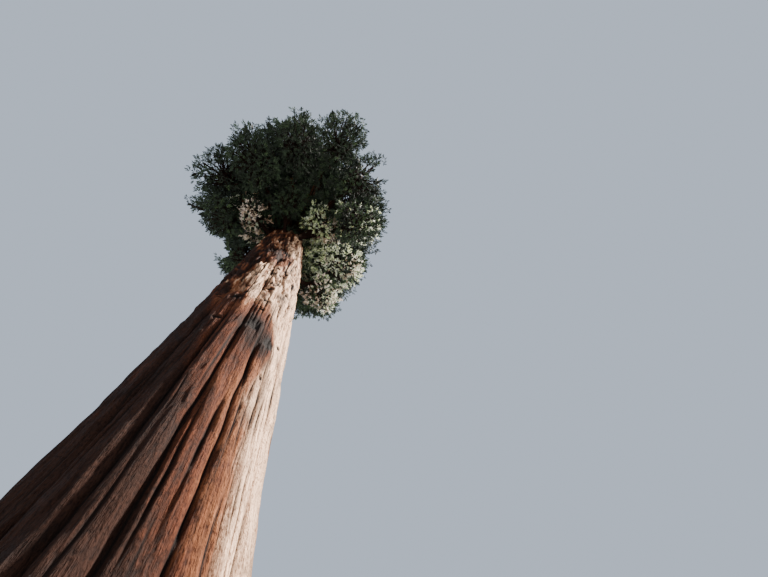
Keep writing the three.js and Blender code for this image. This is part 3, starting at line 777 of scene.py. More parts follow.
def tube_faces(rows, columns, first=0):
    """Faces between rings of points, with a fan at each end round one more point."""
    ring = np.arange(columns)
    onward = (ring + 1) % columns
    start = first + np.arange(rows - 1)[:, None] * columns
    quads = np.stack([start + ring, start + onward, start + columns + onward, start + columns + ring], -1)
    last = first + (rows - 1) * columns
    foot = np.stack([np.full(columns, first + rows * columns), first + onward, first + ring], -1)
    head = np.stack([np.full(columns, first + rows * columns + 1), last + ring, last + onward], -1)
    return quads.reshape(-1, 4), np.concatenate([foot, head])


def shown(name, mesh, material, nodes):
    """Puts a finished piece in the scene: it rides on the tree and stands for the solids that it covers."""
    piece = bpy.data.objects.new(name, mesh)
    bpy.context.scene.collection.objects.link(piece)
    if material:
        mesh.materials.clear()
        mesh.materials.append(material)
    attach(piece, "root")
    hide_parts(*nodes)
    return piece


# Bark relief

def ring_noise(seed, cells, tall, angle, z):
    """Smooth noise from -1 to 1 on a limb's skin, which closes on itself round the limb."""
    rows = int(HEIGHT / tall) + 6
    lattice = np.random.default_rng(seed).uniform(-1, 1, (rows, cells))
    across = (angle / TAU % 1.0) * cells
    up = np.clip(z / tall + 2, 0, rows - 1.001)
    column = np.floor(across).astype(int)
    row = np.floor(up).astype(int)
    over = smooth_share(across - column)
    climb = smooth_share(up - row)
    left = column % cells
    right = (column + 1) % cells
    low = lattice[row, left] * (1 - over) + lattice[row, right] * over
    high = lattice[row + 1, left] * (1 - over) + lattice[row + 1, right] * over
    return low * (1 - climb) + high * climb


def noise(label, angle, z):
    return ring_noise(*NOISES[label], angle, z)


@functools.lru_cache
def all_cracks():
    """The smaller furrows, the named ones and those scattered by a seeded rule."""
    random = np.random.default_rng(LAYOUT_SEED)
    cracks = list(CRACKS)
    for _ in range(SCATTERED_CRACKS):
        low = random.uniform(*CRACK_FEET)
        length = random.uniform(*CRACK_LENGTH)
        wide = random.random()
        half = CRACK_HALF[0] + (CRACK_HALF[1] - CRACK_HALF[0]) * wide
        depth = CRACK_DEPTH[0] + (CRACK_DEPTH[1] - CRACK_DEPTH[0]) * wide
        cracks.append((low, low + length, random.uniform(0, 360), half, depth))
    return cracks


@functools.lru_cache
def all_scars():
    """The branch scars, the named ones and those scattered by a seeded rule, thicker towards the crown."""
    random = np.random.default_rng(LAYOUT_SEED + 1)
    scars = list(SCARS)
    low, high = SCATTERED_BETWEEN
    for _ in range(SCATTERED_SCARS):
        height = low + (high - low) * random.random() ** SCATTERED_POWER
        half = random.uniform(*SCAR_HALF)
        degrees = random.uniform(0, 360)
        scars.append((height, degrees, half, random.uniform(*SCAR_FLATNESS) * half, SCAR_DEPTH_SHARE * half))
    return scars


def near_rows(z, angle, low, high, centre, reach):
    """The part of a grid of heights and directions that lies round one place."""
    rows = np.flatnonzero((z[:, 0] > low) & (z[:, 0] < high))
    columns = np.flatnonzero(np.abs(apart(angle[0], centre)) < reach)
    return np.ix_(rows, columns)


def ragged_share(z):
    """How far the bark at a height has broken crosswise into scales."""
    return rise_share(z, SCALES_FROM, SCALES_TO)


def bridged_share(z, angle):
    """Where the scales have closed over the main furrows, from 0 to 1."""
    return ragged_share(z) * smooth_share(BRIDGED + BRIDGE_NOISE * noise("bridges", angle - TWIST * z, z))


def seams(z, angle):
    """How near each point is to the crack along the bottom of a main furrow, from 0 to 1."""
    nearest = np.zeros_like(z)
    stray_seed, stray_tall = SEAM_STRAY_NOISE
    width_seed, width_tall = SEAM_WIDTH_NOISE
    for k, (degrees, _, _) in enumerate(FURROWS):
        stray = SEAM_STRAY * ring_noise(stray_seed + k, 1, stray_tall, angle, z)
        wide = SEAM_HALF * (1 + SEAM_WIDTH * ring_noise(width_seed + k, 1, width_tall, angle, z))
        away = SHAFT_RADIUS * apart(angle, math.radians(degrees) + TWIST * z) - stray
        nearest = np.maximum(nearest, furrow_fade(z) * bump(away / wide))
    return nearest * (1 - bridged_share(z, angle))


def cut_cracks(z, angle, relief, furrow, look):
    """Cuts the smaller furrows, each widest halfway along and closed at both ends."""
    for k, (low, high, degrees, half, depth) in enumerate(all_cracks()):
        middle = math.radians(degrees)
        part = near_rows(z, angle, low, high, middle, CRACK_REACH)
        if not relief[part].size:
            continue
        along = (z[part] - low) / (high - low)
        open_share = np.sqrt(np.sin(math.pi * along))
        stray = CRACK_STRAY * np.sin((2 + k % 4) * (along + CRACK_PHASE * k)) * (0.5 + 0.5 * along)
        turn = apart(angle[part], middle + TWIST * (z[part] - 0.5 * (low + high)))
        wide = half * (CRACK_END_WIDTH + (1 - CRACK_END_WIDTH) * open_share)
        near = bump((SHAFT_RADIUS * turn - stray) / wide)
        relief[part] -= look.furrow_depth * depth * open_share * near
        furrow[part] = np.maximum(furrow[part], open_share * near)


def boss_bumps(z, angle, radius):
    """The swellings round the largest scars: how far each stands out, and how near each point is to it."""
    for height, degrees, half, tall, out in BOSSES:
        across = apart(angle, math.radians(degrees)) * radius / half
        yield out, bump(np.hypot(across, (z - height) / tall))


def cut_scars(z, angle, relief, scar_shade_share, radius):
    """Cuts the branch scars, each a pit with a low rim, marks where painted shade darkens each pit and its
    edge, and raises the swellings round the largest.
    """
    for out, near in boss_bumps(z, angle, radius):
        relief += out * near
    for height, degrees, half, tall, depth in all_scars():
        centre = math.radians(degrees)
        span = SCAR_SPAN * tall
        part = near_rows(z, angle, height - span, height + span, centre, SCAR_SPAN * half)
        if not relief[part].size:
            continue
        across = apart(angle[part], centre) * radius[part] / half
        slant = SCAR_SLANT * across * math.sin(SCAR_SLANT_RATE * height)
        away = np.hypot(across, (z[part] - height) / tall + slant)
        rim = SCAR_RIM * bump((away - SCAR_RIM_AT) / SCAR_RIM_WIDE)
        relief[part] += depth * (rim - np.exp(-(away**4)))
        scar_shade_share[part] = np.maximum(scar_shade_share[part], np.exp(-((away / SCAR_DARK) ** 4)))


def bark_relief(z, angle, look):
    """The bark's height over the solid trunk, how deep in a furrow, crack or slot each point is, which sets its
    painted shade, and how near a scar's hollow, which sets the painted shade there.
    """
    turn = angle - TWIST * z + WARP_TURN * noise("warp", angle, z)
    turn = turn + FINE_WARP * WARP_TURN * noise("fine_warp", angle, z)
    climb = z + WARP_RISE * noise("rise", angle, z)
    relief = np.full_like(z, -BARK_SUNK)
    furrow = np.zeros_like(z)
    for layer in PLATE_LAYERS:
        plates = layer["sharp"] * ring_noise(*layer["noise"], turn, climb)
        relief += look.plate_swell * layer["height"] * np.tanh(plates)
        furrow = np.maximum(furrow, PLATE_EDGE_SHADE * layer["height"] * bump(PLATE_EDGE_SHARP * plates))
    cut_cracks(z, angle, relief, furrow, look)
    seam = seams(z, angle)
    relief -= look.furrow_depth * SEAM_DEPTH * seam
    furrow = np.maximum(furrow, seam)
    ragged = ragged_share(z)
    scales = noise("scales", turn, climb) + FINE_SCALES * noise("fine_scales", turn, climb)
    breaks = bump((scales + BREAK_LEVEL) / BREAK_WIDE)
    slots = bump((noise("slots", turn, climb) - SLOT_LEVEL) / SLOT_WIDE)
    scaly = SCALE_SWELL * np.tanh(SCALE_SHARP * scales) - breaks
    relief += ragged * (SCALE_DEPTH * scaly - SLOT_DEPTH * slots)
    relief += BRIDGE_FILL * bridged_share(z, angle) * furrow_depth(z, angle)
    furrow = np.maximum(furrow, ragged * np.maximum(BREAK_SHADE * breaks, slots))
    scar_shade_share = np.zeros_like(z)
    cut_scars(z, angle, relief, scar_shade_share, trunk_radius(z, angle))
    return relief * np.clip(shaft_radius(z) / SHAFT_RADIUS, BARK_THINNEST, 1), furrow, scar_shade_share


def facing(angle, side):
    """From 1 on one side of the trunk to 0 on the other."""
    degrees, power = side
    return (0.5 + 0.5 * np.cos(angle - math.radians(degrees))) ** power


def painted(z, angle, radius, look):
    """How pale each point of the trunk's bark is: in patches of tone, with painted sunlight on the side towards
    the key light, painted shade on the side away from it and at the near side's foot, and painted shadow round
    the swellings.
    """
    turn = angle - TWIST * z
    patches = COARSE_SHARE * noise("patches", turn, z) + FINE_SHARE * noise("fine_patches", turn, z)
    blotches = COARSE_SHARE * noise("blotches", turn, z) + FINE_SHARE * noise("fine_blotches", turn, z)
    # Painted sunlight on the side towards the key light, strongest between two heights, and a strip of it
    # almost white
    high = rise_share(z, *PAINTED_SUN_RISES) * rise_share(z, *reversed(PAINTED_SUN_ENDS))
    high = PAINTED_SUN_LOW + (PAINTED_SUN_HIGH - PAINTED_SUN_LOW) * high
    sunlit = look.painted_sun * high * facing(angle, PAINTED_SUN_SIDE) + PAINTED_SUN_STRIP * facing(angle, PAINTED_SUN_STRIP_SIDE)
    # Painted shade on the side away from the key light and at the near side's foot
    foot = PAINTED_FOOT_SHADE * rise_share(z, *PAINTED_FOOT_SHADE_FADE) * facing(angle, PAINTED_FOOT_SHADE_SIDE)
    painted_shade = look.painted_shade * (facing(angle, PAINTED_SHADE_SIDE) + foot)
    # Painted shadow on and round the swellings
    painted_shade = painted_shade + BOSS_SHADE * sum(near for _, near in boss_bumps(z, angle, radius))
    return PATCH_MIDDLE + PATCH_SPREAD * patches + BLOTCH * ragged_share(z) * blotches + sunlit - painted_shade


def trunk_point_rows(z, columns, look):
    """Rings of points on the bark at some heights, with what the colours need to know of each."""
    angle = np.arange(columns) * TAU / columns
    heights, angles = np.meshgrid(z, angle, indexing="ij")
    relief, furrow, scar_shade_share = bark_relief(heights, angles, look)
    radius = trunk_radius(heights, angles) + relief
    across, along = axis_at(heights)
    points = np.stack([across + radius * np.cos(angles), along + radius * np.sin(angles), heights], -1)
    return points, dict(furrow=furrow, knot=scar_shade_share, patch=painted(heights, angles, radius, look))


def capped(rings, shares, centres):
    """Rings of points with the two points that close their ends, and a number for each of them too."""
    points = np.concatenate([rings.reshape(-1, 3), centres])
    return points, {label: np.append(values.ravel(), [0.5, 0.5]) for label, values in shares.items()}


def trunk_mesh(name, start, end, columns, rows, next_columns, look):
    """One band of the trunk, closed at both ends. It runs on a little under the skin of the bands next to it,
    and its top ring fits a coarser band above it."""
    z = start + (end - start) * np.linspace(0, 1, rows)
    laps = ([start - BAND_LAP] if start > 0 else []), ([end + BAND_LAP] if next_columns else [])
    z = np.concatenate([laps[0], z, laps[1]])
    rings, shares = trunk_point_rows(z, columns, look)
    centres = np.stack([*axis_at(z), z], -1)
    for row, lap in ((0, laps[0]), (-1, laps[1])):
        if lap:
            rings[row] -= LAP_SUNK * unit(rings[row] - centres[row])
    if next_columns and next_columns < columns:
        for row in (-1, -2):
            rings[row, 1::2] = 0.5 * (rings[row, 0::2] + np.roll(rings[row, 0::2], -1, axis=0))
    points, shares = capped(rings, shares, centres[[0, -1]])
    return mesh_of(name, points, tube_faces(len(z), columns), shares)


def bough_points(mass, look):
    """The points of one bough's bark, from inside the trunk's skin to its mass, and their numbers."""
    handles = bough_handles(mass)
    t = np.linspace(0, 1, BOUGH_STEPS)
    path = on_curve(handles, t)
    away, direction = from_axis(path)
    start = t[np.argmax(away > trunk_radius(path[:, 2], direction) - BOUGH_SUNK)]
    t = np.linspace(start, 1, BOUGH_ROWS)
    path = on_curve(handles, t)
    side = mass.axes[1]
    normal = np.cross(curve_heading(handles, t), side)
    length = np.linalg.norm(np.diff(path, axis=0), axis=1).sum()
    angle = np.arange(BOUGH_SIDES) * TAU / BOUGH_SIDES
    runs, angles = np.meshgrid(length * np.linspace(0, 1, BOUGH_ROWS), angle, indexing="ij")
    places = runs + mass.degrees / BOUGH_SHIFT
    spiral = angles + BOUGH_SPIRAL * runs
    # The furrows sink the bough's bark and darken it with painted shade
    furrow = bump(noise("bough_furrows", spiral, places) / BOUGH_FURROW_WIDE)
    crease = bump(noise("bough_creases", spiral, places) / BOUGH_CREASE_WIDE)
    furrow = np.maximum(furrow, BOUGH_CREASE * crease)
    knobs = BOUGH_KNOBS * noise("bough_knobs", angles, places)
    radius = bough_radius(mass, t)[:, None] * (1 + look.limb_relief * (knobs - furrow + BOUGH_LEVEL))
    around = np.cos(angles)[..., None] * normal[:, None] + np.sin(angles)[..., None] * side
    rings = path[:, None] + radius[..., None] * around
    patch = 0.5 + 0.5 * noise("bough_patches", angles, places)
    return capped(rings, {"furrow": furrow, "knot": np.zeros_like(furrow), "patch": patch}, path[[0, -1]])


# The crown's growth

def spread_directions(count, turn):
    """Directions spread evenly over a ball."""
    place = np.arange(count)
    level = 1 - 2 * (place + 0.5) / count
    ring = np.sqrt(1 - level * level)
    return np.stack([ring * np.cos(turn + place * GOLDEN), ring * np.sin(turn + place * GOLDEN), level], -1)


def crown_share(z):
    return float(np.clip((z - CROWN_FOOT) / (HEIGHT - CROWN_FOOT), 0, 1))


def sunk_in_others(mass, points, plan):
    """Whether each point lies inside another mass or in the trunk, where the crown's skin doesn't show."""
    buried = from_axis(points)[0] < shaft_radius(points[:, 2]) + BURIED_AT_TRUNK
    for other in plan:
        if other is not mass and np.linalg.norm(other.centre - mass.centre) < NEAR_MASS:
            buried |= other.depth(points) < BURIED_DEPTH
    return buried


def in_the_box(points):
    """Which points keep to the solid model's box, with a little room at its sides."""
    low, high = np.array(CAD_BOX[0]) - BOX_MARGIN, np.array(CAD_BOX[1]) + BOX_MARGIN
    high[2] = HEIGHT
    return (points > low).all(axis=1) & (points < high).all(axis=1)


def in_the_open(points):
    """Which points stand where the camera sees the sky between the masses."""
    seen = (points - np.array([0, -EYE_DISTANCE, EYE_HEIGHT])) @ np.array(camera_turn())
    across = PICTURE_WIDTH / 2 - FOCAL_PIXELS * seen[:, 0] / seen[:, 2]
    down = PICTURE_HEIGHT / 2 + FOCAL_PIXELS * seen[:, 1] / seen[:, 2]
    return np.any([np.hypot(across - x, down - y) < radius for x, y, radius in SKY_OPENINGS], axis=0)


def tint_shares(mass, point, heading, buried):
    """How likely each tint is for a spray: darker with painted shade inside and below, lighter above, brighter
    with painted light on the light masses' sides away from the key light, and dry where dead.
    """
    name = mass.name
    drop = mass.centre[2] - point[2]
    # The light masses' sprays that head away from the key light take brighter tints: painted light
    sunward = ", sunward" if heading @ SUNWARD > SUNWARD_SHARE else ""
    kind = None
    if buried:
        kind = "light, buried" if name in ("collar_3", "low_8") else "buried"
    elif name == "skirt_1":
        kind = "dead" + sunward if drop > -DEAD_RISE else "above the dead"
    elif name == "collar_1":
        kind = "straw" if heading[2] < STRAW_TURN and drop > -STRAW_RISE else "above the straw"
    elif name == "low_8" and drop > UNDERSIDE_DROP:
        kind = "underside" + sunward
    elif name == "low_7" or name == "low_8" and (point - mass.centre) @ mass.axes[0] > OUTER_HALF:
        kind = "outer"
    elif name in ("collar_3", "low_8"):
        kind = "light" + sunward
    elif name in ("low_6", "low_9", "skirt_2"):
        kind = "half shade"
    if kind:
        weights = np.array(MASS_TINTS[kind])
    else:
        # Painted shade: darker tints on sprays that head down, lighter ones on those that head up
        lit = 0.5 + 0.5 * heading[2]
        weights = (1 - lit) * np.array(MASS_TINTS["heading down"]) + lit * np.array(MASS_TINTS["heading up"])
    return weights / weights.sum()


class Growth:
    """What grows on one mass by the source's rule carried on: a stem, a twig to each clump on the mass's
    skin, side twigs round each clump with a spray of needles on each, and dark sprays on the twigs inside. It
    holds sprays by place, heading, size and tint, and twigs as runs of points."""

    def __init__(self, mass, index, look):
        self.mass = mass
        self.look = look
        self.random = np.random.default_rng(LAYOUT_SEED + SEED_STEP * index + 1)
        up = crown_share(mass.centre[2])
        clump = look.clump_low + (look.clump_high - look.clump_low) * up
        self.clump = min(clump, CLUMP_LIMIT * mass.half.min())
        self.spray = look.spray_low + (look.spray_high - look.spray_low) * up
        self.area = 4 * math.pi * float(np.mean(mass.half)) ** 2
        self.stem = stem_handles(mass)
        self.places = []
        self.headings = []
        self.sizes = []
        self.tints = []
        self.runs = []

    def add_sprays(self, places, headings, sizes, tints):
        kept = ~in_the_open(places + 0.5 * sizes[:, None] * headings)
        self.places.append(places[kept])
        self.headings.append(headings[kept])
        self.sizes.append(sizes[kept])
        self.tints.append(tints[kept])

    def add_run(self, points, radii):
        self.runs.append((np.array(points), np.array(radii)))

    def grow(self, plan):
        self.grow_clumps(plan)
        if self.mass.on_bough:
            self.grow_on_bough()
        self.grow_between()
        self.grow_inside()
        return self

    def grow_clumps(self, plan):
        """The stem, and clumps spread over the mass's skin."""
        mass, look, random = self.mass, self.look, self.random
        cover = look.clump_cover * (TOP_COVER if mass.name == "top" else 1)
        count = int(cover * self.area / (math.pi * self.clump * self.clump))
        directions = spread_directions(count, random.uniform(0, TAU))
        directions = unit(directions + random.normal(0, CLUMP_SCATTER, directions.shape))
        spokes = mass.spokes(directions, SKIN)
        lengths = np.linalg.norm(spokes, axis=1)
        outs = spokes / lengths[:, None]
        buried = sunk_in_others(mass, mass.centre + spokes + outs * BURIED_STEP, plan)
        stem_width = STEM_SHARE * bough_radius(mass, 1.0) if mass.on_bough else TRUNK_STEM_SHARE * mass.reach
        t = np.linspace(0, 1, STEM_POINTS)
        self.add_run(on_curve(self.stem, t), stem_width * (1 - STEM_TAPER * t))
        phases = random.uniform(0, TAU, 3)
        swells = SWELL_MEAN + SWELL * np.sin(SWELL_WAVES * directions + phases).mean(axis=1)
        stands = random.random(count) < OPEN_MASSES.get(mass.name, 1)
        for out, length, hidden, swell in zip(outs[stands], lengths[stands], buried[stands], swells[stands]):
            self.grow_clump(out, length, hidden, swell)

    def grow_clump(self, out, length, hidden, swell):
        """One clump: a twig to it from the stem, side twigs all round it, and sprays of needles."""
        mass, look, random = self.mass, self.look, self.random
        size = self.clump * random.choice(CLUMP_SIZES) * random.uniform(*CLUMP_SPREAD)
        size = min(size, CLUMP_LIMIT * length)
        if hidden:
            size = min(HIDDEN_CLUMP * size, HIDDEN_LIMIT * length)
        full = hidden or out[2] > TIP_RISE and mass.name == "top"
        reach = 1.0 if full else swell * random.uniform(1 - look.clump_depth, CLUMP_OUTMOST)
        heart = mass.centre + out * (length * reach - HEART_BACK * size)
        if in_the_open(heart[None])[0]:
            return
        needle = self.spray * (HIDDEN_SPRAY if hidden else 1) * SPRAY_SIZES.get(mass.name, 1)
        needle *= random.uniform(*NEEDLE_SPREAD)
        cover = look.spray_cover * (HIDDEN_COVER if hidden else 1)
        wanted = int(cover * math.pi * size * size / (needle * needle)) + 2
        around = spread_directions(wanted, random.uniform(0, TAU))
        around = around @ np.array(Matrix.Rotation(random.uniform(0, TAU), 3, Vector(random.normal(0, 1, 3))))
        around = unit(around + random.normal(0, AROUND_SCATTER, around.shape))
        around = around[around @ out > (HIDDEN_BACK if hidden else CLUMP_BACK)]
        bumps = size * random.uniform(*BUMPS, len(around))
        tips = heart + around * bumps[:, None]
        heading = around + HEADING_OUT * out + np.array([0, 0, look.spray_lift])
        heading = unit(heading + random.normal(0, HEADING_SCATTER, around.shape))
        ends = tips + heading * needle
        room = mass.inside_walls(ends, WALL_SLACK) & (mass.depth(ends) < TIP_LIMIT) & in_the_box(ends)
        room &= clear_of_limbs(tips)
        tips = tips[room]
        heading = heading[room]
        if not len(tips):
            return
        sway = TWIG_SWAY * length * random.normal(0, 1, 3)
        foot = on_curve(self.stem, [random.uniform(*TWIG_FEET)])[0]
        middle = 0.5 * (foot + heart) + TWIG_BEND * sway
        self.add_run([foot, middle, heart], np.array(TWIG_RADII) * (TWIG_GROWTH + size))
        for tip in tips[:: look.twig_step]:
            self.add_run([heart, tip], SIDE_TWIG_RADII)
        own = random.choice(len(TINTS), p=tint_shares(mass, heart, out, hidden))
        shares = [tint_shares(mass, tip, way, hidden) for tip, way in zip(tips, heading)]
        tints = [random.choice(len(TINTS), p=share) for share in shares]
        tints = np.where(random.random(len(tips)) < CLUMP_TINTED, own, tints)
        self.add_sprays(tips, heading, needle * random.uniform(*SPRAY_SPREAD, len(tips)), tints)

    def grow_on_bough(self):
        """Twigs with sprays of needles that stand out along a bough, before its mass begins."""
        mass, random = self.mass, self.random
        handles = bough_handles(mass)
        cover = self.look.bough_cover * DENSE_BOUGHS.get(mass.name, 1)
        count = int(cover * np.linalg.norm(handles[3] - handles[0]))
        t = np.sort(random.uniform(BOUGH_BARE, 1, count))
        feet = on_curve(handles, t)
        along = curve_heading(handles, t)
        ways = unit(np.cross(along, random.normal(0, 1, (count, 3))) + BOUGH_TWIG_AHEAD * along)
        lengths = random.uniform(*BOUGH_TWIG_LENGTH, count)
        tips = feet + ways * (bough_radius(mass, t) + lengths)[:, None]
        keep = in_the_box(tips) & clear_of_limbs(tips)
        fewest, per_metre = BOUGH_TWIG_SPRAYS
        for foot, way, tip, length in zip(feet[keep], ways[keep], tips[keep], lengths[keep]):
            self.add_run([foot, tip], LONG_TWIG_RADII)
            wanted = fewest + int(per_metre * length)
            shares = random.uniform(*BOUGH_SPRAY_PLACES, wanted)
            places = tip - way * (length * (1 - shares))[:, None]
            heading = unit(way + random.normal(0, BOUGH_SPRAY_SCATTER, (wanted, 3)))
            room = clear_of_limbs(places + BOUGH_SPRAY_ROOM * heading)
            sizes = self.look.spray_low * BOUGH_SPRAY * random.uniform(*SIZE_SPREAD, wanted)
            shares = BOUGH_TINTS.get(mass.name, BOUGH_TINTS["other"])
            tints = random.choice(len(TINTS), wanted, p=shares)
            self.add_sprays(places[room], heading[room], sizes[room], tints[room])

    def grow_between(self):
        """Sprays on longer twigs that close the gaps between a mass and its neighbours, short of the crown's
        outline."""
        mass, random = self.mass, self.random
        spray = BETWEEN_SPRAY * self.spray
        count = int(self.look.between_cover * self.area)
        directions = unit(random.normal(0, 1, (count, 3)))
        spokes = (directions * mass.half) @ mass.axes
        places = mass.centre + spokes * random.uniform(*BETWEEN_SKIN, (count, 1))
        heading = unit(unit(spokes) + random.normal(0, BETWEEN_SCATTER, places.shape))
        room = mass.inside_walls(places) & clear_of_limbs(places) & in_the_box(places + spray * heading)
        room &= from_axis(places)[0] < (BETWEEN_SHARE_LOW if mass.on_bough else BETWEEN_SHARE) * mass.reach
        room &= places[:, 2] > CROWN_FOOT + BETWEEN_RISE
        if mass.name == "top":
            room &= places[:, 2] < mass.centre[2]
        sizes = spray * random.uniform(*SIZE_SPREAD, count)
        tints = random.choice(len(BETWEEN_TINTS), count, p=BETWEEN_TINTS)
        self.add_sprays(places[room], heading[room], sizes[room], tints[room])
        for place in places[room][::BETWEEN_TWIGS]:
            self.add_run([BETWEEN_FOOT * (place + mass.centre), place], LONG_TWIG_RADII)

    def grow_inside(self):
        """Large sprays of the darkest tint inside the mass, as painted shade, so that no sky shows through its
        middle.
        """
        mass, random = self.mass, self.random
        count = int(self.look.shade_cover * self.area * OPEN_MASSES.get(mass.name, 1) ** 2)
        spokes = mass.spokes(unit(random.normal(0, 1, (count, 3))), 1.0)
        lengths = np.linalg.norm(spokes, axis=1)
        places = mass.centre + spokes * random.uniform(*SHADE_PLACES, (count, 1))
        sizes = np.minimum(SHADE_SIZE * random.uniform(*SIZE_SPREAD, count), SHADE_LIMIT * lengths)
        heading = unit(spokes / lengths[:, None] + random.normal(0, SHADE_SCATTER, places.shape))
        ends = places + heading * sizes[:, None]
        room = mass.inside_walls(ends) & (mass.depth(ends) < SHADE_DEPTH) & clear_of_limbs(places)
        room &= in_the_box(ends)
        self.add_sprays(places[room], heading[room], sizes[room], np.zeros(int(room.sum()), int))


@functools.lru_cache
def crown_growth():
    plan = crown_plan()
    look = bpy.context.scene.sequoia_foliage
    return [Growth(mass, index, look).grow(plan) for index, mass in enumerate(plan)]


def blade(foot, tip, side, width, keel):
    """The four corners and four faces of a slim closed blade with a keel, its faces turned outward."""
    waist = foot + BLADE_WAIST * (tip - foot) + keel * unit(np.cross(tip - foot, side))
    corners = np.array([foot, tip, waist + 0.5 * width * side, waist - 0.5 * width * side])
    faces = np.array([[0, 1, 2], [1, 0, 3], [2, 3, 0], [3, 2, 1]])
    first, second, third = corners[faces[0]]
    outward = np.cross(second - first, third - first) @ (first - corners.mean(axis=0))
    return corners, faces if outward > 0 else faces[:, ::-1]


def spray_template(kind):
    """One spray of needles along +X: slim blades that point forward all round and along one axis, the last
    one straight on, so that the spray is a plume."""
    random = np.random.default_rng(SPRAY_SEED + kind)
    points = []
    faces = []
    for k in range(BLADES_PER_SPRAY):
        share = k / (BLADES_PER_SPRAY - 1)
        lean = (1 - share) * BLADE_LEAN + random.normal(0, BLADE_SCATTER)
        turn = k * GOLDEN + random.normal(0, BLADE_TURN_SCATTER)
        way = np.array([math.cos(lean), math.sin(lean) * math.cos(turn), math.sin(lean) * math.sin(turn)])
        length = BLADE_LONGEST - (BLADE_LONGEST - BLADE_SHORTEST) * share
        length *= random.uniform(*BLADE_SPREAD)
        side = unit(np.cross(way, random.normal(0, 1, 3)))
        foot = np.array([BLADE_RUN * share, 0, 0])
        corners, around = blade(foot, foot + way * length, side, BLADE_WIDTH * length, BLADE_KEEL * length)
        faces.append(around + len(corners) * k)
        points.append(corners)
    mesh = mesh_of(f"spray_{kind}", np.concatenate(points), [np.concatenate(faces)])
    mesh.shade_flat()
    return bpy.data.objects.new(f"spray_{kind}", mesh)


# Geometry node trees

def fill(tree, node, wires):
    """Fills a node's inputs by name or number with values or links."""
    for key, value in wires.items():
        if isinstance(value, bpy.types.NodeSocket):
            tree.links.new(value, node.inputs[key])
        else:
            node.inputs[key].default_value = value


def add_node(tree, kind, wires=None, **settings):
    node = tree.nodes.new(kind)
    for label, value in settings.items():
        setattr(node, label, value)
    fill(tree, node, wires or {})
    return node


def maths(tree, operation, *values):
    return add_node(tree, "ShaderNodeMath", dict(enumerate(values)), operation=operation).outputs[0]


def new_tree(name, inputs):
    """A geometry tree with a geometry in and out, and the named inputs given as (label, socket type)."""
    tree = bpy.data.node_groups.new(name, "GeometryNodeTree")
    tree.interface.new_socket("Geometry", in_out="INPUT", socket_type="NodeSocketGeometry")
    tree.interface.new_socket("Geometry", in_out="OUTPUT", socket_type="NodeSocketGeometry")
    sockets = {}
    for label, kind in inputs:
        sockets[label] = tree.interface.new_socket(label, in_out="INPUT", socket_type=kind).identifier
    return tree, tree.nodes.new("NodeGroupInput"), tree.nodes.new("NodeGroupOutput"), sockets


def named(tree, label, kind):
    node = add_node(tree, "GeometryNodeInputNamedAttribute", {"Name": label}, data_type=kind)
    return node.outputs["Attribute"]


def spray_tree(tints):
    """Stands a spray of needles on each point, turned, sized and tinted by what the point says."""
    inputs = [(f"Spray {k + 1}", "NodeSocketObject") for k in range(SPRAY_KINDS)]
    inputs += [("Size", "NodeSocketFloat")] + [(f"Tint {tint}", "NodeSocketMaterial") for tint in tints]
    tree, given, result, sockets = new_tree("needle_sprays", inputs)
    join = tree.nodes.new("GeometryNodeJoinGeometry")
    for k in range(SPRAY_KINDS):
        wires = {"Object": given.outputs[f"Spray {k + 1}"], "As Instance": True}
        spray = add_node(tree, "GeometryNodeObjectInfo", wires)
        tree.links.new(spray.outputs["Geometry"], join.inputs[0])
    turn = add_node(tree, "FunctionNodeEulerToRotation", {0: named(tree, "turn", "FLOAT_VECTOR")})
    wires = {
        "Points": given.outputs["Geometry"],
        "Instance": join.outputs[0],
        "Pick Instance": True,
        "Instance Index": named(tree, "kind", "INT"),
        "Rotation": turn.outputs[0],
        "Scale": maths(tree, "MULTIPLY", named(tree, "size", "FLOAT"), given.outputs["Size"]),
    }
    stand = add_node(tree, "GeometryNodeInstanceOnPoints", wires)
    flow = add_node(tree, "GeometryNodeRealizeInstances", {"Geometry": stand.outputs[0]}).outputs[0]
    for k, tint in enumerate(tints):
        same = add_node(
            tree,
            "FunctionNodeCompare",
            {COMPARE_FIRST: named(tree, "tint", "INT"), COMPARE_SECOND: k},
            data_type="INT",
            operation="EQUAL",
        )
        wires = {"Geometry": flow, "Selection": same.outputs[0], "Material": given.outputs[f"Tint {tint}"]}
        flow = add_node(tree, "GeometryNodeSetMaterial", wires).outputs[0]
    tree.links.new(flow, result.inputs[0])
    return tree, sockets


def twig_tree():
    """Makes each run of points a closed round twig with the radii that its points say."""
    inputs = [("Sides", "NodeSocketInt"), ("Width", "NodeSocketFloat"), ("Bark", "NodeSocketMaterial")]
    tree, given, result, sockets = new_tree("twigs", inputs)
    curve = add_node(tree, "GeometryNodeMeshToCurve", {"Mesh": given.outputs["Geometry"]})
    wires = {"Resolution": given.outputs["Sides"], "Radius": 1.0}
    ring = add_node(tree, "GeometryNodeCurvePrimitiveCircle", wires)
    wires = {
        "Curve": curve.outputs[0],
        "Profile Curve": ring.outputs[0],
        "Scale": maths(tree, "MULTIPLY", named(tree, "radius", "FLOAT"), given.outputs["Width"]),
        "Fill Caps": True,
    }
    tube = add_node(tree, "GeometryNodeCurveToMesh", wires)
    real = add_node(tree, "GeometryNodeRealizeInstances", {"Geometry": tube.outputs[0]})
    wires = {"Geometry": real.outputs[0], "Material": given.outputs["Bark"]}
    bark = add_node(tree, "GeometryNodeSetMaterial", wires)
    tree.links.new(bark.outputs[0], result.inputs[0])
    return tree, sockets


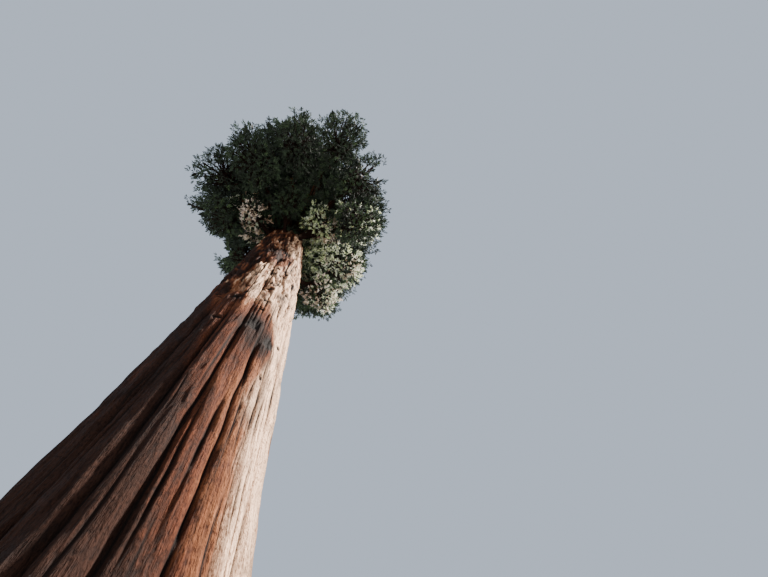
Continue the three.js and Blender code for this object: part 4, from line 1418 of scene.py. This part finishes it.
def made_by(tree, sockets, seed_mesh, values):
    """Runs a tree on a mesh and gives back the plain mesh that it makes."""
    holder = bpy.data.objects.new("holder", seed_mesh)
    bpy.context.scene.collection.objects.link(holder)
    modifier = holder.modifiers.new("growth", "NODES")
    modifier.node_group = tree
    for label, value in values.items():
        modifier[sockets[label]] = value
    holder.update_tag()
    bpy.context.view_layer.update()
    graph = bpy.context.evaluated_depsgraph_get()
    grown = holder.evaluated_get(graph)
    result = bpy.data.meshes.new_from_object(grown, preserve_all_data_layers=True, depsgraph=graph)
    holder.modifiers.remove(modifier)
    bpy.data.objects.remove(holder)
    bpy.data.meshes.remove(seed_mesh)
    for label in TREE_NUMBERS:
        if label in result.attributes:
            result.attributes.remove(result.attributes[label])
    drop_empty_slots(result)
    return result


def drop_empty_slots(mesh):
    """Keeps only the material slots that some face uses."""
    index = np.zeros(len(mesh.polygons), np.int32)
    mesh.polygons.foreach_get("material_index", index)
    used, index = np.unique(index, return_inverse=True)
    kept = [mesh.materials[slot] for slot in used]
    mesh.materials.clear()
    for material in kept:
        mesh.materials.append(material)
    mesh.polygons.foreach_set("material_index", index.astype(np.int32))


def point_mesh(name, points, numbers, edges=()):
    """A mesh of loose points or edges that carries named numbers for a tree to read."""
    mesh = bpy.data.meshes.new(name)
    mesh.vertices.add(len(points))
    mesh.vertices.foreach_set("co", np.asarray(points, np.float32).ravel())
    if len(edges):
        mesh.edges.add(len(edges))
        mesh.edges.foreach_set("vertices", np.asarray(edges, np.int32).ravel())
    kinds = {"f": ("FLOAT", "value"), "i": ("INT", "value"), "v": ("FLOAT_VECTOR", "vector")}
    for label, values in numbers.items():
        values = np.asarray(values)
        sort = "v" if values.ndim == 2 else values.dtype.kind
        kind, field = kinds[sort]
        attribute = mesh.attributes.new(label, kind, "POINT")
        attribute.data.foreach_set(field, values.astype(np.int32 if sort == "i" else np.float32).ravel())
    return mesh


# Materials

def new_material(name):
    material = bpy.data.materials.new(name)
    material.use_nodes = True
    tree = material.node_tree
    return material, tree, tree.nodes["Principled BSDF"]


def mix(tree, share, first, second, blend="MIX"):
    wires = dict(zip(MIX_INPUTS, (share, first, second)))
    node = add_node(tree, "ShaderNodeMix", wires, data_type="RGBA", blend_type=blend)
    return node.outputs[MIX_RESULT]


def ramp(tree, share, stops):
    node = add_node(tree, "ShaderNodeValToRGB", {"Fac": share})
    elements = node.color_ramp.elements
    while len(elements) < len(stops):
        elements.new(0.5)
    for element, (place, colour) in zip(elements, stops):
        element.position = place
        element.color = (*colour, 1)
    return node.outputs[0]


def grain(tree, place, fibre, label):
    """Noise on the object's own coordinates, stretched by its scale on each axis."""
    across, upward, detail, roughness = GRAINS[label]
    scale = (across * fibre, across * fibre, upward * fibre)
    turned = add_node(tree, "ShaderNodeMapping", {"Vector": place, "Scale": scale})
    wires = {"Vector": turned.outputs[0], "Scale": 1.0, "Detail": detail, "Roughness": roughness}
    return add_node(tree, "ShaderNodeTexNoise", wires).outputs["Fac"]


def bark_material(name, look, fibre, light):
    """Fibrous cinnamon bark: dark with painted shade in the furrows and the scars' hollows, with patches and
    streaks of tone along the grain, and on the trunk the painted sunlight and shade that its patch numbers
    carry.
    """
    material, tree, skin = new_material(name)
    place = tree.nodes.new("ShaderNodeTexCoord").outputs["Object"]
    furrow, patch, knot = (
        add_node(tree, "ShaderNodeAttribute", attribute_name=label).outputs["Fac"]
        for label in ("furrow", "patch", "knot")
    )
    streaks, flecks, specks = (grain(tree, place, fibre, label) for label in GRAINS)
    tone = maths(tree, "MULTIPLY_ADD", flecks, FLECK_TONE, maths(tree, "MULTIPLY", patch, PATCH_TONE))
    colours = (look.bark_deep, look.bark_red, look.bark_orange, look.bark_tan, look.bark_cream)
    colours = [tuple(channel * light for channel in colour) for colour in colours]
    base = ramp(tree, tone, list(zip(BARK_STOPS, colours)))
    base = mix(tree, STREAK_SHARE, base, ramp(tree, streaks, STREAK_TONES), "MULTIPLY")
    base = mix(tree, PIT_SHARE, base, ramp(tree, specks, PIT_TONES), "MULTIPLY")
    # Painted shade in the furrows and in and round the scars' hollows
    base = mix(tree, ramp(tree, furrow, FURROW_EDGE), base, (*look.bark_furrow_shade, 1))
    base = mix(tree, ramp(tree, knot, SCAR_SHADE_EDGE), base, (*look.bark_scar_shade, 1))
    fine = maths(tree, "MULTIPLY_ADD", streaks, STREAK_HEIGHT, flecks)
    fine = maths(tree, "MULTIPLY_ADD", specks, SPECK_HEIGHT, fine)
    wires = {"Height": fine, "Strength": GRAIN_STRENGTH, "Distance": look.grain_depth}
    wires = {
        "Base Color": base,
        "Roughness": ramp(tree, flecks, BARK_ROUGHNESS),
        "Specular IOR Level": BARK_SPECULAR,
        "Normal": add_node(tree, "ShaderNodeBump", wires).outputs[0],
    }
    fill(tree, skin, wires)
    return material


def needle_material(tint, colour):
    """Needles of one tint. The light ones let some of the sun through."""
    material, tree, skin = new_material(f"needles_{tint}")
    wires = {"Base Color": (*colour, 1), "Roughness": NEEDLE_ROUGHNESS, "Specular IOR Level": NEEDLE_SPECULAR}
    if tint in LIT_THROUGH:
        wires["Subsurface Weight"] = LIT_SHARE
        wires["Subsurface Radius"] = LIT_RADII
        wires["Subsurface Scale"] = LIT_DEPTH
    fill(tree, skin, wires)
    material.diffuse_color = (*colour, 1)
    return material


def plain_material(name, colour, rough):
    material, tree, skin = new_material(name)
    fill(tree, skin, {"Base Color": (*colour, 1), "Roughness": rough})
    return material


# Settings

def colour_setting(label, description, colour):
    return bpy.props.FloatVectorProperty(
        name=label, description=description, default=colour, subtype="COLOR", size=3, min=0, max=1
    )


def length_setting(label, description, length):
    return bpy.props.FloatProperty(name=label, description=description, default=length, min=0, unit="LENGTH")


def share_setting(label, description, share):
    return bpy.props.FloatProperty(name=label, description=description, default=share, min=0)


def angle_setting(label, description, degrees, **limits):
    return bpy.props.FloatProperty(
        name=label, description=description, default=math.radians(degrees), subtype="ANGLE", **limits
    )


class SequoiaBarkSettings(bpy.types.PropertyGroup):
    furrow_depth: share_setting("Furrow Depth", "How deep the furrows are cut, 1 as in nature", 1.0)
    plate_swell: share_setting("Plate Swell", "How far the ridges between the furrows swell", 1.0)
    # Painted sunlight on the side towards the key light, and painted shade on the side away from it
    painted_sun: share_setting("Bleach", "How much lighter the weathered bark on the sunny side is", 0.5)
    painted_shade: share_setting("Damp", "How much darker the bark on the damp side is", 0.5)
    limb_relief: share_setting("Limb Relief", "The relief of a bough's bark as a share of its radius", 0.12)
    grain_depth: length_setting("Grain Depth", "The depth of the fibres on the ridges", 0.05)
    bark_deep: colour_setting("Deep Bark", "The darkest tone of the ridges", (0.026, 0.011, 0.007))
    bark_red: colour_setting("Red Bark", "The cinnamon tone of most of the bark", (0.09, 0.028, 0.013))
    bark_orange: colour_setting("Orange Bark", "The tone of freshly shed bark", (0.22, 0.085, 0.038))
    # Tan and cream are the colours of pale patches and also of the painted sunlight
    bark_tan: colour_setting("Tan Bark", "The tone of weathered, bleached bark", (0.52, 0.34, 0.23))
    bark_cream: colour_setting("Cream Bark", "The tone of the most weathered plates", (0.86, 0.57, 0.39))
    # Painted shade deep in the furrows and in the scars' hollows
    bark_furrow_shade: colour_setting("Furrow", "The tone deep in a furrow", (0.008, 0.0045, 0.0035))
    bark_scar_shade: colour_setting("Knot", "The tone inside a hollow or branch scar", (0.01, 0.007, 0.006))


class SequoiaFoliageSettings(bpy.types.PropertyGroup):
    clump_low: length_setting("Low Clump", "The radius of a clump of foliage at the crown's foot", 0.33)
    clump_high: length_setting("High Clump", "The radius of a clump of foliage at the crown's top", 0.68)
    clump_cover: share_setting("Clump Cover", "How closely clumps cover the skin of a mass", 1.15)
    spray_low: length_setting("Low Spray", "The length of a spray of needles at the crown's foot", 0.2)
    spray_high: length_setting("High Spray", "The length of a spray of needles at the crown's top", 0.43)
    spray_cover: share_setting("Spray Cover", "How closely sprays cover a clump", 2.1)
    clump_depth: share_setting("Clump Depth", "How far clumps stand back from the skin, as a share", 0.24)
    bough_cover: share_setting("Bough Cover", "Twigs for each metre of a bough", 22.0)
    between_cover: share_setting("Gap Cover", "Sprays tried in the gaps for each square metre of skin", 8.5)
    shade_cover: share_setting("Shade Cover", "Dark inner sprays for each square metre of skin", 1.6)
    spray_lift: share_setting("Spray Lift", "How strongly sprays turn up to the light", 0.12)
    twig_step: bpy.props.IntProperty(
        name="Twig Step", description="One in how many sprays has a side twig", default=4, min=1
    )
    # Inside and below the crown the shade and deep tints are dealt more often, as painted shade
    shade: colour_setting("Shade Tint", "Needles inside the crown", (0.015, 0.021, 0.014))
    deep: colour_setting("Deep Tint", "Old needles", (0.025, 0.039, 0.023))
    green: colour_setting("Green Tint", "Most needles", (0.036, 0.058, 0.03))
    fresh: colour_setting("Fresh Tint", "This year's needles", (0.055, 0.088, 0.038))
    # The needles' own colours made much lighter with painted light, for undersides that the sun shines through
    sunny: colour_setting("Sunny Tint", "Yellow-green needles in the sun", (0.43, 0.52, 0.24))
    grey: colour_setting("Grey Tint", "Grey-green weathered needles", (0.45, 0.51, 0.34))
    brown: colour_setting("Brown Tint", "Dead needles", (0.38, 0.26, 0.18))
    straw: colour_setting("Straw Tint", "Bleached dead needles", (0.8, 0.64, 0.5))


class SequoiaStageSettings(bpy.types.PropertyGroup):
    floor_radius: length_setting("Floor Radius", "The radius of the pale floor", 160.0)
    floor_colour: colour_setting("Floor", "The colour of the floor", (0.3, 0.3, 0.295))
    sky_colour: colour_setting("Backdrop", "The colour of the light all round", (0.68, 0.79, 0.95))
    sky_strength: share_setting("Fill", "The strength of the light all round", 0.78)
    sun_strength: share_setting("Key", "The strength of the soft key light", 20.0)
    sun_spread: angle_setting("Key Spread", "How wide the key light is", 4, min=0)
    sun_side: angle_setting("Key Side", "The direction of the key light", -28.5)
    sun_height: angle_setting("Key Height", "The key light's height", 42.5)


# Operators

class TreeOperator:
    """What the operators that build the tree share."""

    bl_options = {"REGISTER", "UNDO"}


class SEQUOIA_OT_trunk(TreeOperator, bpy.types.Operator):
    """Build the trunk with its furrowed bark"""

    bl_idname = "sequoia.trunk"
    bl_label = "Trunk"

    def execute(self, context):
        look = context.scene.sequoia_bark
        bark = bark_material("furrowed_bark", look, *TRUNK_GRAIN)
        ends = [start for _, start, _, _ in TRUNK_BANDS[1:]] + [TRUNK_TIP]
        followers = [columns for _, _, columns, _ in TRUNK_BANDS[1:]] + [None]
        for (name, start, columns, rows), end, next_columns in zip(TRUNK_BANDS, ends, followers):
            mesh = trunk_mesh(name, start, end, columns, rows, next_columns, look)
            shown(name, mesh, bark, ["trunk"])
        return {"FINISHED"}


class SEQUOIA_OT_boughs(TreeOperator, bpy.types.Operator):
    """Build the boughs that hold the lower masses"""

    bl_idname = "sequoia.boughs"
    bl_label = "Boughs"

    def execute(self, context):
        look = context.scene.sequoia_bark
        bark = bark_material("limb_bark", look, *BOUGH_GRAIN)
        for ring in [ring["name"] for ring in RINGS if ring["boughs"]]:
            masses = [mass for mass in crown_plan() if mass.name.startswith(ring + "_")]
            points, numbers = zip(*(bough_points(mass, look) for mass in masses))
            firsts = np.cumsum([0, *map(len, points)])[:-1]
            quads, fans = zip(*(tube_faces(BOUGH_ROWS, BOUGH_SIDES, first) for first in firsts))
            faces = [np.concatenate(quads), np.concatenate(fans)]
            shares = {label: np.concatenate([row[label] for row in numbers]) for label in numbers[0]}
            mesh = mesh_of(f"boughs_{ring}", np.concatenate(points), faces, shares)
            shown(f"boughs_{ring}", mesh, bark, [f"bough_{mass.name}" for mass in masses])
        return {"FINISHED"}


class SEQUOIA_OT_twigs(TreeOperator, bpy.types.Operator):
    """Build the stems and twigs inside the masses of foliage"""

    bl_idname = "sequoia.twigs"
    bl_label = "Twigs"

    def execute(self, context):
        bark = bark_material("twig_bark", context.scene.sequoia_bark, *TWIG_GRAIN)
        tree, sockets = twig_tree()
        for name, sides, straight in TWIG_KINDS:
            runs = [run for growth in crown_growth() for run in growth.runs if (len(run[0]) == 2) == straight]
            mesh = made_by(tree, sockets, run_mesh(name, runs), {"Sides": sides, "Width": 1.0, "Bark": bark})
            mesh.name = name
            shown(name, mesh, None, [f"foliage_{mass.name}" for mass in crown_plan()])
        return {"FINISHED"}


def run_mesh(name, runs):
    """Twigs as a mesh of edges, without those that end where the sky shows between the masses."""
    open_ends = in_the_open(np.array([run[-1] for run, _ in runs]))
    runs = [run for run, gone in zip(runs, open_ends) if not gone]
    points = np.concatenate([run for run, _ in runs])
    last = np.cumsum([len(run) for run, _ in runs]) - 1
    edges = np.stack([np.arange(len(points) - 1), np.arange(1, len(points))], -1)
    edges = np.delete(edges, last[:-1], axis=0)
    return point_mesh(name, points, {"radius": np.concatenate([width for _, width in runs])}, edges)


class SEQUOIA_OT_needles(TreeOperator, bpy.types.Operator):
    """Build the sprays of needles, ring by ring"""

    bl_idname = "sequoia.needles"
    bl_label = "Needles"

    def execute(self, context):
        look = context.scene.sequoia_foliage
        tree, sockets = spray_tree(TINTS)
        values = {f"Tint {tint}": needle_material(tint, getattr(look, tint)) for tint in TINTS}
        sprays = [spray_template(kind) for kind in range(SPRAY_KINDS)]
        values.update({f"Spray {k + 1}": spray for k, spray in enumerate(sprays)})
        values["Size"] = 1.0
        for group, members in needle_groups().items():
            growths = [crown_growth()[index] for index in members]
            mesh = made_by(tree, sockets, spray_points(group, growths), values)
            mesh.name = group
            shown(group, mesh, None, [f"foliage_{growth.mass.name}" for growth in growths])
        for spray in sprays:
            bpy.data.objects.remove(spray)
        return {"FINISHED"}


def spray_points(name, growths):
    """A mesh with a point for each spray of some masses, turned along its heading and of one of the kinds."""
    places, heading, sizes, tints = (
        np.concatenate([row for growth in growths for row in getattr(growth, field)])
        for field in ("places", "headings", "sizes", "tints")
    )
    count = len(places)
    random = np.random.default_rng(count)
    roll = random.uniform(0, TAU, count)
    pitch = -np.arcsin(np.clip(heading[:, 2], -1, 1))
    turn = np.stack([roll, pitch, np.arctan2(heading[:, 1], heading[:, 0])], -1)
    kinds = random.integers(0, SPRAY_KINDS, count)
    return point_mesh(name, places, {"turn": turn, "size": sizes, "kind": kinds, "tint": tints})


def needle_groups():
    """The masses in groups whose needles make one piece each, a new group begun when a piece's sprays would
    pass the faces that PIECE_FACES allows.
    """
    limit = PIECE_FACES // (FACES_PER_BLADE * BLADES_PER_SPRAY)
    groups = {}
    held = 0
    letter = "a"
    ring = None
    for index, (mass, growth) in enumerate(zip(crown_plan(), crown_growth())):
        count = sum(map(len, growth.places))
        own = mass.name.split("_")[0]
        if own != ring:
            ring = own
            letter = "a"
            held = 0
        elif held + count > limit:
            letter = chr(ord(letter) + 1)
            held = 0
        held += count
        groups.setdefault(f"needles_{ring}_{letter}", []).append(index)
    return groups


class SEQUOIA_OT_stage(TreeOperator, bpy.types.Operator):
    """Set up the pale floor, the soft light and the camera"""

    bl_idname = "sequoia.stage"
    bl_label = "Stage"

    def execute(self, context):
        look = context.scene.sequoia_stage
        scene = context.scene
        angle = np.arange(FLOOR_SIDES) * TAU / FLOOR_SIDES
        rim = np.stack([np.cos(angle), np.sin(angle), np.zeros(FLOOR_SIDES)], -1) * look.floor_radius
        mesh = mesh_of("floor", rim - np.array([0, 0, FLOOR_SUNK]), [np.arange(FLOOR_SIDES)[None, :]])
        floor = bpy.data.objects.new("floor", mesh)
        mesh.materials.append(plain_material("pale_floor", tuple(look.floor_colour), FLOOR_ROUGHNESS))
        scene.collection.objects.link(floor)
        world = bpy.data.worlds.new("soft_light")
        world.use_nodes = True
        world.node_tree.nodes["Background"].inputs["Color"].default_value = (*look.sky_colour, 1)
        world.node_tree.nodes["Background"].inputs["Strength"].default_value = look.sky_strength
        scene.world = world
        light = bpy.data.lights.new("soft_key", "SUN")
        light.energy = look.sun_strength
        light.angle = look.sun_spread
        light.color = KEY_COLOUR
        lamp = bpy.data.objects.new("soft_key", light)
        level = math.cos(look.sun_height)
        source = (level * math.cos(look.sun_side), level * math.sin(look.sun_side), math.sin(look.sun_height))
        lamp.rotation_euler = Vector(source).to_track_quat("Z", "Y").to_euler()
        scene.collection.objects.link(lamp)
        lens = bpy.data.cameras.new("camera")
        lens.sensor_width = SENSOR_WIDTH
        lens.lens = FOCAL_PIXELS * SENSOR_WIDTH / PICTURE_WIDTH
        lens.clip_end = CLIP_END
        camera = bpy.data.objects.new("camera", lens)
        camera.matrix_world = Matrix.Translation((0, -EYE_DISTANCE, EYE_HEIGHT)) @ camera_turn().to_4x4()
        scene.collection.objects.link(camera)
        scene.camera = camera
        return {"FINISHED"}


def camera_turn():
    """The camera's rotation, from the point in the picture that upright lines run to."""
    across = ZENITH_ACROSS - PICTURE_WIDTH / 2
    zenith = Vector((across, PICTURE_HEIGHT / 2 - ZENITH_DOWN, -FOCAL_PIXELS)).normalized()
    level = Vector((1, 0, 0))
    level = (level - zenith * level.dot(zenith)).normalized()
    other = zenith.cross(level)
    turn = math.radians(FOOT_TURN)
    ahead = level * math.cos(turn) + other * math.sin(turn)
    return Matrix((ahead.cross(zenith), ahead, zenith))


BUILD_ORDER = (SEQUOIA_OT_stage, SEQUOIA_OT_trunk, SEQUOIA_OT_boughs, SEQUOIA_OT_twigs, SEQUOIA_OT_needles)


class SEQUOIA_PT_panel(bpy.types.Panel):
    """Lists what builds the tree and what can be changed"""

    bl_idname = "SEQUOIA_PT_panel"
    bl_label = "Giant Sequoia"
    bl_space_type = "VIEW_3D"
    bl_region_type = "UI"
    bl_category = "Sequoia"

    def draw(self, context):
        scene = context.scene
        for group in (scene.sequoia_bark, scene.sequoia_foliage, scene.sequoia_stage):
            box = self.layout.box()
            for label in group.__annotations__:
                box.prop(group, label)
        for operator in BUILD_ORDER:
            self.layout.operator(operator.bl_idname)


CLASSES = (SequoiaBarkSettings, SequoiaFoliageSettings, SequoiaStageSettings, *BUILD_ORDER, SEQUOIA_PT_panel)


def register():
    for kind in CLASSES:
        bpy.utils.register_class(kind)
    bpy.types.Scene.sequoia_bark = bpy.props.PointerProperty(type=SequoiaBarkSettings)
    bpy.types.Scene.sequoia_foliage = bpy.props.PointerProperty(type=SequoiaFoliageSettings)
    bpy.types.Scene.sequoia_stage = bpy.props.PointerProperty(type=SequoiaStageSettings)


def unregister():
    del bpy.types.Scene.sequoia_stage
    del bpy.types.Scene.sequoia_foliage
    del bpy.types.Scene.sequoia_bark
    for kind in reversed(CLASSES):
        bpy.utils.unregister_class(kind)


def main():
    register()
    bpy.ops.sequoia.stage()
    bpy.ops.sequoia.trunk()
    bpy.ops.sequoia.boughs()
    bpy.ops.sequoia.twigs()
    bpy.ops.sequoia.needles()


if __name__ == "__main__":
    main()
